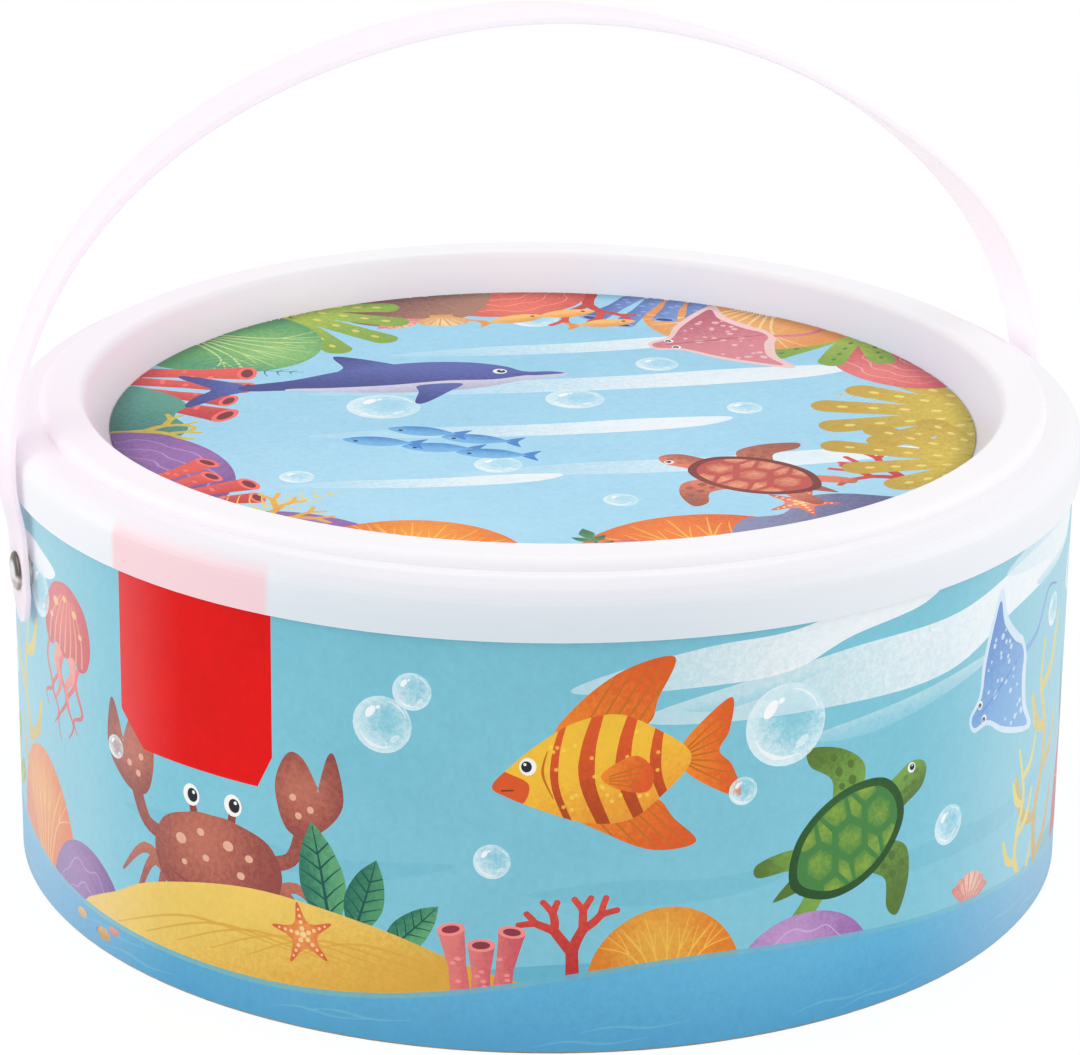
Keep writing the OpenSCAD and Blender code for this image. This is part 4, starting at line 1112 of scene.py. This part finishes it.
# Handle strap: a moulded band with soft edges. The photograph shows it pulled in from the even arch and
# turned about its own path, at places from its left foot (-90) over its crown (0) to its right foot (90).
ARCH_PLACES = np.linspace(-90, 90, 9)
ARCH_PULL = (0.5, 0.3, -0.15, -0.1, -0.2, 0.8, 1.3, -0.2, 0.3)
ARCH_TURN = (0, -0.5, 3.5, 8.8, 10.4, 7.6, 8.0, -2.0, 0)
ARCH_THICK = (LEG_T, 1.3, STRAP_T, STRAP_T, STRAP_T, STRAP_T, 1.6, 1.3, LEG_T)


def through(at, places, values):
    """A smooth curve through knots."""
    slopes = np.gradient(values, places)
    k = int(min(max(np.searchsorted(places, at) - 1, 0), len(places) - 2))
    step = places[k + 1] - places[k]
    t = (at - places[k]) / step
    rise = smooth_step(t)
    bend = slopes[k] * t * (1 - t) ** 2 - slopes[k + 1] * t * t * (1 - t)
    return values[k] * (1 - rise) + values[k + 1] * rise + step * bend


def strap_path():
    """Inner face of the strap from its left foot to its right foot: distance from the axis, height above
    the hinge line, the turn of the band about its own path, and its thickness."""
    feet = []
    for pull in (ARCH_PULL[0], ARCH_PULL[-1]):
        leg = []
        for k in range(25):
            share = 1 - cosd(180 * k / 48) if k < 5 else k / 24
            v = -TAB_DROP + (ARCH_START + TAB_DROP) * share
            t = smooth_step((v - TAB_FLAT) / (ARCH_START - TAB_FLAT))
            leg.append((TAB_X + (ARCH_X - pull - TAB_X) * t, v, 0.0, LEG_T))
        feet.append(leg)
    arch = []
    for k in range(1, 80):
        place = -90 + 180 * k / 80
        pull, turn, thick = (through(place, ARCH_PLACES, knots)
            for knots in (ARCH_PULL, ARCH_TURN, ARCH_THICK))
        even = np.array((ARCH_X * sind(place), ARCH_START + ARCH_RISE * cosd(place)))
        out = np.array((ARCH_RISE * sind(place), ARCH_X * cosd(place)))
        x, v = even - pull * out / np.linalg.norm(out)
        arch.append((x, v, turn, thick))
    return [(-leg[0],) + leg[1:] for leg in feet[0]] + arch + feet[1][::-1]


def strap_half_width(v):
    end = STRAP_END_W / 2
    low = end - TAB_DROP
    if v < low:
        return math.sqrt(max(0.0, end * end - (v - low) ** 2))
    crown = ARCH_START + ARCH_RISE + STRAP_T
    return end + (STRAP_CROWN_W - STRAP_END_W) / 2 * sind(90 * max(0.0, v) / crown)


def make_strap():
    path = strap_path()
    lean = Matrix.Rotation(math.radians(-LEAN), 4, "X")
    mesh = bmesh.new()
    rings = []
    for k, (x, v, turn, thick) in enumerate(path):
        ax, av = path[max(k - 1, 0)][:2]
        bx, bv = path[min(k + 1, len(path) - 1)][:2]
        long = math.hypot(bx - ax, bv - av)
        out = ((av - bv) / long, (bx - ax) / long)
        c, s = cosd(turn), sind(turn)
        wide = max(strap_half_width(v), STRAP_EDGE)
        edge = min(STRAP_EDGE, 0.6 * wide)
        ring = []
        for cy, ct, start in ((wide - edge, thick - edge, 0), (edge - wide, thick - edge, 90),
                (edge - wide, edge, 180), (wide - edge, edge, 270)):
            for j in range(5):
                a = math.radians(start + 22.5 * j)
                y, t = cy + edge * math.cos(a), ct + edge * math.sin(a) - thick / 2
                y, t = c * y - s * t, s * y + c * t + thick / 2
                p = lean @ Vector((x + out[0] * t, y, v + out[1] * t))
                ring.append(mesh.verts.new(MM * (p + Vector((0, 0, HINGE_Z)))))
        rings.append(ring)
    for low, high in zip(rings, rings[1:]):
        for j in range(len(low)):
            mesh.faces.new((low[j - 1], low[j], high[j], high[j - 1]))
    mesh.faces.new(rings[0])
    mesh.faces.new(rings[-1][::-1])
    bmesh.ops.recalc_face_normals(mesh, faces=mesh.faces)
    data = bpy.data.meshes.new("strap")
    mesh.to_mesh(data)
    strap = add_object("strap", data)
    # The rivets' holes
    bpy.ops.mesh.primitive_cylinder_add(vertices=48, radius=MM * BORE_R, depth=0.3,
        location=(0, 0, MM * HINGE_Z), rotation=(0, math.pi / 2, 0))
    drill = bpy.context.object
    cut = strap.modifiers.new("holes", "BOOLEAN")
    cut.operation, cut.solver, cut.object = "DIFFERENCE", "EXACT", drill
    holed = bpy.data.meshes.new_from_object(strap.evaluated_get(bpy.context.evaluated_depsgraph_get()))
    strap.modifiers.clear()
    strap.data = holed
    bpy.data.objects.remove(drill)
    holed.shade_smooth()
    holed.set_sharp_from_angle(angle=math.radians(40))
    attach(strap, "handle_body")
    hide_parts("handle")
    return strap


strap = make_strap()


def lathe(name, section, side, steps=48):
    """Turns a section, given as radius and distance from the drum's axis, about the hinge line."""
    points, faces = [], []
    for r, x in section:
        for k in range(steps):
            a = 2 * math.pi * k / steps
            points.append((side * MM * x, MM * r * math.cos(a), MM * (HINGE_Z + r * math.sin(a))))
    for row in range(len(section) - 1):
        for k in range(steps):
            a, b = row * steps + k, row * steps + (k + 1) % steps
            faces.append((a, b, b + steps, a + steps))
    data = bpy.data.meshes.new(name)
    data.from_pydata(points, [], faces)
    mesh = bmesh.new()
    mesh.from_mesh(data)
    bmesh.ops.remove_doubles(mesh, verts=mesh.verts, dist=1e-7)
    bmesh.ops.holes_fill(mesh, edges=mesh.edges, sides=steps)
    bmesh.ops.recalc_face_normals(mesh, faces=mesh.faces)
    mesh.to_mesh(data)
    data.shade_smooth()
    data.set_sharp_from_angle(angle=math.radians(35))
    return add_object(name, data)


def make_fittings():
    """Low rivets, and thin washers that stay behind the strap's ends."""
    face = TAB_X + LEG_T + SLIP
    dome = [(r, face + HEAD_EDGE + rise) for r, rise in arc(HEAD_R, HEAD_H - HEAD_EDGE, 0, 90, 10)]
    tail = [(AXIS_R, TAIL_X), (TAIL_R - 0.5, TAIL_X), (TAIL_R, TAIL_X + 0.5), (TAIL_R, WASHER_X)]
    rivet = tail + [(SHANK_R, WASHER_X), (SHANK_R, face), (HEAD_R, face)] + dome + [(AXIS_R, face + HEAD_H)]
    bore, back = SHANK_R + 0.05, TAB_X - SLIP
    washer = [(bore, WRAP_R), (SPACER_R, WRAP_R), (SPACER_R, back), (bore, back), (bore, WRAP_R)]
    made = []
    for side, word in ((-1, "left"), (1, "right")):
        for kind, section in (("rivet", rivet), ("spacer", washer)):
            piece = lathe(f"{kind}_{word}_turned", section, side)
            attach(piece, "root")
            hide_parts(f"{kind}_{word}")
            made.append(piece)
    return made


fittings = make_fittings()


# Materials of the rest

def milky(name, colour, low, through, **sockets):
    """Moulded plastic of an even milky tone and a soft gloss, which lets a share of the light through."""
    shade = Shader(name, colour, 0.34, Specular_IOR_Level=0.4, **sockets)
    cloud = shade.ramp(shade.noise(9, 2), [(0.25, low), (0.75, colour)])
    shade.dull(shade.span(shade.noise(30, 2), 0.3, 0.7, 0.32, 0.37))
    glow = shade.node("ShaderNodeBsdfTranslucent", Color=colour)
    shade.join(glow, Fac=through)
    return shade, cloud


# Where the tones of the lid's skirt, shoulder, bead and recess fade, in millimetres of radius or height
SKIRT_R, SKIRT_Z, SKIRT_FOOT_Z = (96.6, 99.3), (86.4, 82.4), (83.6, 77.0)
SHOULDER_IN_R, SHOULDER_OUT_R = (95.6, 97.0), (99.9, 98.9)
BEAD_Z = (84.0, 87.0)
RECESS_R, RECESS_Z, RECESS_DEEP_Z = (85.6, 84.6), (CARD_Z - 0.5, CARD_Z), (CARD_Z - 1.5, 88.0)
# And where the red panel starts and ends, in degrees about the axis
PANEL_LEFT, PANEL_RIGHT = (-158.6, -157.6), (-137.4, -138.4)


def lid_material():
    shade, cloud = milky("white_plastic", srgb(251, 249, 252), srgb(249, 247, 251), 0.0)
    x, y, z = shade.xyz()
    radius = shade.radius(x, y)
    angle = shade.math("DEGREES", shade.math("ARCTAN2", y, x))

    def fade(source, ends):
        return shade.span(source, MM * ends[0], MM * ends[1])

    # Across the lid, from left (0) to right (1) as the photograph stands
    across = shade.math("MULTIPLY_ADD", shade.across(x, y), 0.5 / (MM * LID_R), 0.5)
    # The print shows through the skirt, blue, and red where the panel runs up under it
    skirt = shade.times(fade(radius, SKIRT_R), fade(z, SKIRT_Z))
    # Painted light: the skirt's blue and the shoulder's painted shade are strongest at the front and fade
    # out towards the left and right ends, where the side lamps light the lid
    ends = shade.ramp(across, [(0.04, 0.25), (0.3, 1.0), (0.6, 1.0), (0.98, 0.3)])
    foot = fade(z, SKIRT_FOOT_Z)
    blue = shade.times(shade.times(skirt, ends), shade.math("MULTIPLY_ADD", foot, 0.12, 0.42))
    colour = shade.mix(blue, cloud, srgb(198, 219, 231))
    # A painted pink cast from the red panel below, on the lid's tops at the left
    panel_pink_cast = shade.ramp(across, [(0.0, ratio(1.015, 0.982, 1.0)), (0.16, ratio(1.01, 0.99, 1.0)), (0.3, 1.0)])
    colour = shade.mix(fade(z, BEAD_Z), colour, shade.tint(colour, panel_pink_cast))
    # Painted shade on the shoulder, darkest at the front
    turn = shade.times(fade(radius, SHOULDER_IN_R), fade(radius, SHOULDER_OUT_R))
    colour = shade.mix(shade.times(turn, ends), colour, ratio(0.96, 0.963, 0.972), "MULTIPLY")
    panel = shade.times(shade.span(angle, *PANEL_LEFT), shade.span(angle, *PANEL_RIGHT))
    colour = shade.mix(shade.times(shade.times(panel, skirt), 0.85), colour, srgb(250, 208, 215))
    # Painted shade in the recess, darker towards the card and tinted with painted bounce light of the
    # print: rose at the left, lavender grey at the right
    tones = []
    for shares in (((0.97, 0.915, 0.925), (0.995, 0.98, 0.99), (0.985, 0.975, 0.98), (0.94, 0.935, 0.96),
            (0.95, 0.94, 0.96)), ((0.875, 0.82, 0.85), (0.93, 0.895, 0.91), (0.925, 0.945, 0.97),
            (0.885, 0.905, 0.94), (0.87, 0.865, 0.92))):
        places = (0.08, 0.25, 0.5, 0.8, 1.0)
        tones.append(shade.ramp(across, [(place, ratio(*share)) for place, share in zip(places, shares)]))
    upper_recess_shade, deep_recess_shade = tones
    recess = shade.mix(shade.math("POWER", fade(z, RECESS_DEEP_Z), 0.8), deep_recess_shade, upper_recess_shade)
    inside = shade.times(fade(radius, RECESS_R), fade(z, RECESS_Z))
    shade.paint(shade.mix(inside, colour, shade.tint(colour, recess)))
    return shade.material


def handle_material():
    """The strap has a faint emission, a painted glow that stands in for the light its thin plastic
    scatters.
    """
    glow = {"Emission_Color": srgb(255, 248, 250), "Emission_Strength": 0.125}
    shade, cloud = milky("handle_plastic", srgb(255, 251, 254), srgb(255, 249, 253), 0.4, **glow)
    across = shade.math("MULTIPLY_ADD", shade.xyz()[0], 0.5 / (MM * LID_R), 0.5)
    # A painted pink cast from the red panel, on the strap's left
    panel_pink_cast = shade.ramp(across, [(0.1, ratio(0.992, 0.97, 0.985)), (0.45, 1.0)])
    shade.paint(shade.tint(cloud, panel_pink_cast))
    return shade.material


def rivet_material():
    """Bright nickel with painted reflections on the dome: a darker room above it, a tan table below, a
    bright highlight between them, and a darker ring at its edge.
    """
    shade = Shader("nickel_dome", srgb(236, 232, 228), 0.22, Metallic=1.0)
    _, y, z = shade.xyz()
    rise = shade.math("SUBTRACT", z, MM * HINGE_Z)
    far = shade.radius(y, rise)
    # Painted reflections: a darker room above the dome's middle, a tan table below it
    above = shade.times(shade.span(rise, -MM * 0.9, MM * 0.4), shade.span(far, MM * 1.5, MM * 2.5))
    below = shade.times(shade.span(rise, -MM * 0.6, -MM * 1.6), shade.span(far, MM * 1.0, MM * 1.8))
    colour = shade.mix(above, srgb(248, 246, 244), srgb(96, 88, 86))
    colour = shade.mix(below, colour, srgb(206, 194, 186))
    # A painted darker ring at the dome's edge
    edge = shade.span(far, MM * (HEAD_R - 0.55), MM * (HEAD_R - 0.2))
    shade.paint(shade.mix(shade.times(edge, 0.5), colour, srgb(120, 112, 110)))
    return shade.material


def metal(name, colour, rough, brushed):
    shade = Shader(name, colour, rough, Metallic=1.0)
    wear = shade.noise(700, 4, shade.stretched((1, 1, 12 if brushed else 1)))
    shade.paint(shade.ramp(wear, [(0.3, tuple(0.82 * c for c in colour[:3]) + (1,)), (0.7, colour)]))
    shade.dull(shade.span(wear, 0.3, 0.75, rough * 0.7, rough * 1.5))
    shade.bump(wear, 0.08, 0.00004)
    return shade.material


def board(name, light, dark):
    shade = Shader(name, light, 0.8)
    fibre = shade.noise(520, 5, rough=0.7)
    shade.paint(shade.mix(shade.span(shade.noise(60, 3), 0.3, 0.7, 0.0, 0.35),
        shade.ramp(fibre, [(0.3, dark), (0.65, light)]), dark))
    shade.bump(fibre, 0.25, 0.0001)
    return shade.material


def wood(name, light, dark, rough, grain):
    """Bare or painted wood, whose grain lifts through thin paint."""
    shade = Shader(name, light, rough)
    rings = shade.noise(420, 5, shade.stretched((0.14, 1, 1)), 0.65)
    shade.paint(shade.mix(grain, light, shade.ramp(rings, [(0.35, dark), (0.6, light)])))
    shade.dull(shade.span(rings, 0.3, 0.7, rough + 0.08, rough - 0.04))
    shade.bump(rings, 0.2 * grain + 0.05, 0.0001)
    if rough < 0.35:
        shade.main.inputs["Coat Weight"].default_value = 0.3
    return shade.material


def dress_nodes():
    paints = {"fish": (240, 147, 46), "crab": (217, 70, 60), "turtle": (89, 165, 72),
        "whale": (63, 119, 194), "star": (242, 194, 48), "squid": (141, 95, 180), "red": (217, 70, 60),
        "blue": (63, 119, 194)}
    painted = {key: wood(key + "_wood", srgb(*c), srgb(*dim(c, 0.8)), 0.28, 0.35)
        for key, c in paints.items()}
    bare = wood("bare_wood", srgb(224, 190, 138), srgb(188, 146, 94), 0.5, 1.0)
    raw_board = board("board", srgb(206, 188, 156), srgb(172, 150, 116))
    liner = board("liner_paper", srgb(240, 240, 236), srgb(226, 226, 222))
    edge = board("card_edge", srgb(238, 238, 236), srgb(214, 214, 212))
    nickel = metal("nickel", srgb(222, 216, 208), 0.16, False)
    steel = metal("steel", srgb(190, 190, 190), 0.3, True)
    magnet = metal("magnet", srgb(96, 96, 100), 0.35, True)
    looks = {"drum_wall": raw_board, "base_disc": raw_board, "liner_disc": liner, "lid_print": edge,
        "lid": lid_material(), "printed_wrap": raw_board, "handle": handle_material()}
    kinds = ("fish", "crab", "turtle", "whale", "star", "squid")
    for k in range(1, 13):
        looks[f"sea_animal_{k}"] = painted[kinds[(k + (2 if k > 6 else 0)) % 6]]
        looks[f"steel_disc_{k}"] = steel
    for side in ("left", "right"):
        for part in ("rivet", "spacer", "backing_washer"):
            looks[f"{part}_{side}"] = nickel
    for side in "ab":
        looks[f"rod_dowel_{side}"] = looks[f"rod_tip_{side}"] = bare
        looks[f"rod_grip_{side}"] = painted["red"]
        looks[f"bob_{side}"] = painted["blue"]
        looks[f"bob_magnet_{side}"] = magnet
    for name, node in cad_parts.items():
        dress(node, looks[name])
    dress(strap, looks["handle"])
    domes = rivet_material()
    for piece in fittings:
        dress(piece, domes if piece.name.startswith("rivet") else nickel)


dress_nodes()


# Floor, backdrop and light

def make_studio():
    bpy.ops.mesh.primitive_plane_add(size=6.0)
    floor = bpy.context.object
    floor.name = "floor"
    shade = Shader("floor_white", (0.86, 0.86, 0.86, 1), 0.9)
    glow = shade.node("ShaderNodeEmission", Strength=1.03, Color=(1, 1, 1, 1))
    seen = shade.times(shade.node("ShaderNodeLightPath").outputs["Is Camera Ray"], 0.9)
    shade.join(glow, {"Fac": seen})
    dress(floor, shade.material)
    world = bpy.data.worlds.new("studio")
    bpy.context.scene.world = world
    world.use_nodes = True
    # White where the camera sees it, and a plain level as light
    nodes, links = world.node_tree.nodes, world.node_tree.links
    nodes["Background"].inputs["Color"].default_value = (1, 1, 1, 1)
    level = nodes.new("ShaderNodeMath")
    level.operation = "MULTIPLY_ADD"
    level.inputs[1].default_value, level.inputs[2].default_value = 0.2, 0.85
    links.new(nodes.new("ShaderNodeLightPath").outputs["Is Camera Ray"], level.inputs[0])
    links.new(level.outputs[0], nodes["Background"].inputs["Strength"])
    # Two soft boxes stand at the sides of the view, and one hangs above
    for name, place, size, power in (("left_box", (-1.25, 0.30, 0.42), 1.1, 4.2),
            ("right_box", (1.25, -0.60, 0.42), 1.1, 4.2), ("top_box", (-0.15, -0.2, 1.9), 1.4, 2.9)):
        lamp = bpy.data.lights.new(name, "AREA")
        lamp.size = size
        lamp.energy = power
        holder = add_object(name, lamp)
        holder.location = place
        holder.rotation_mode = "QUATERNION"
        holder.rotation_quaternion = (Vector((0, 0, 0.06)) - Vector(place)).to_track_quat("-Z", "Y")


make_studio()
bpy.context.scene.view_settings.view_transform = "Standard"
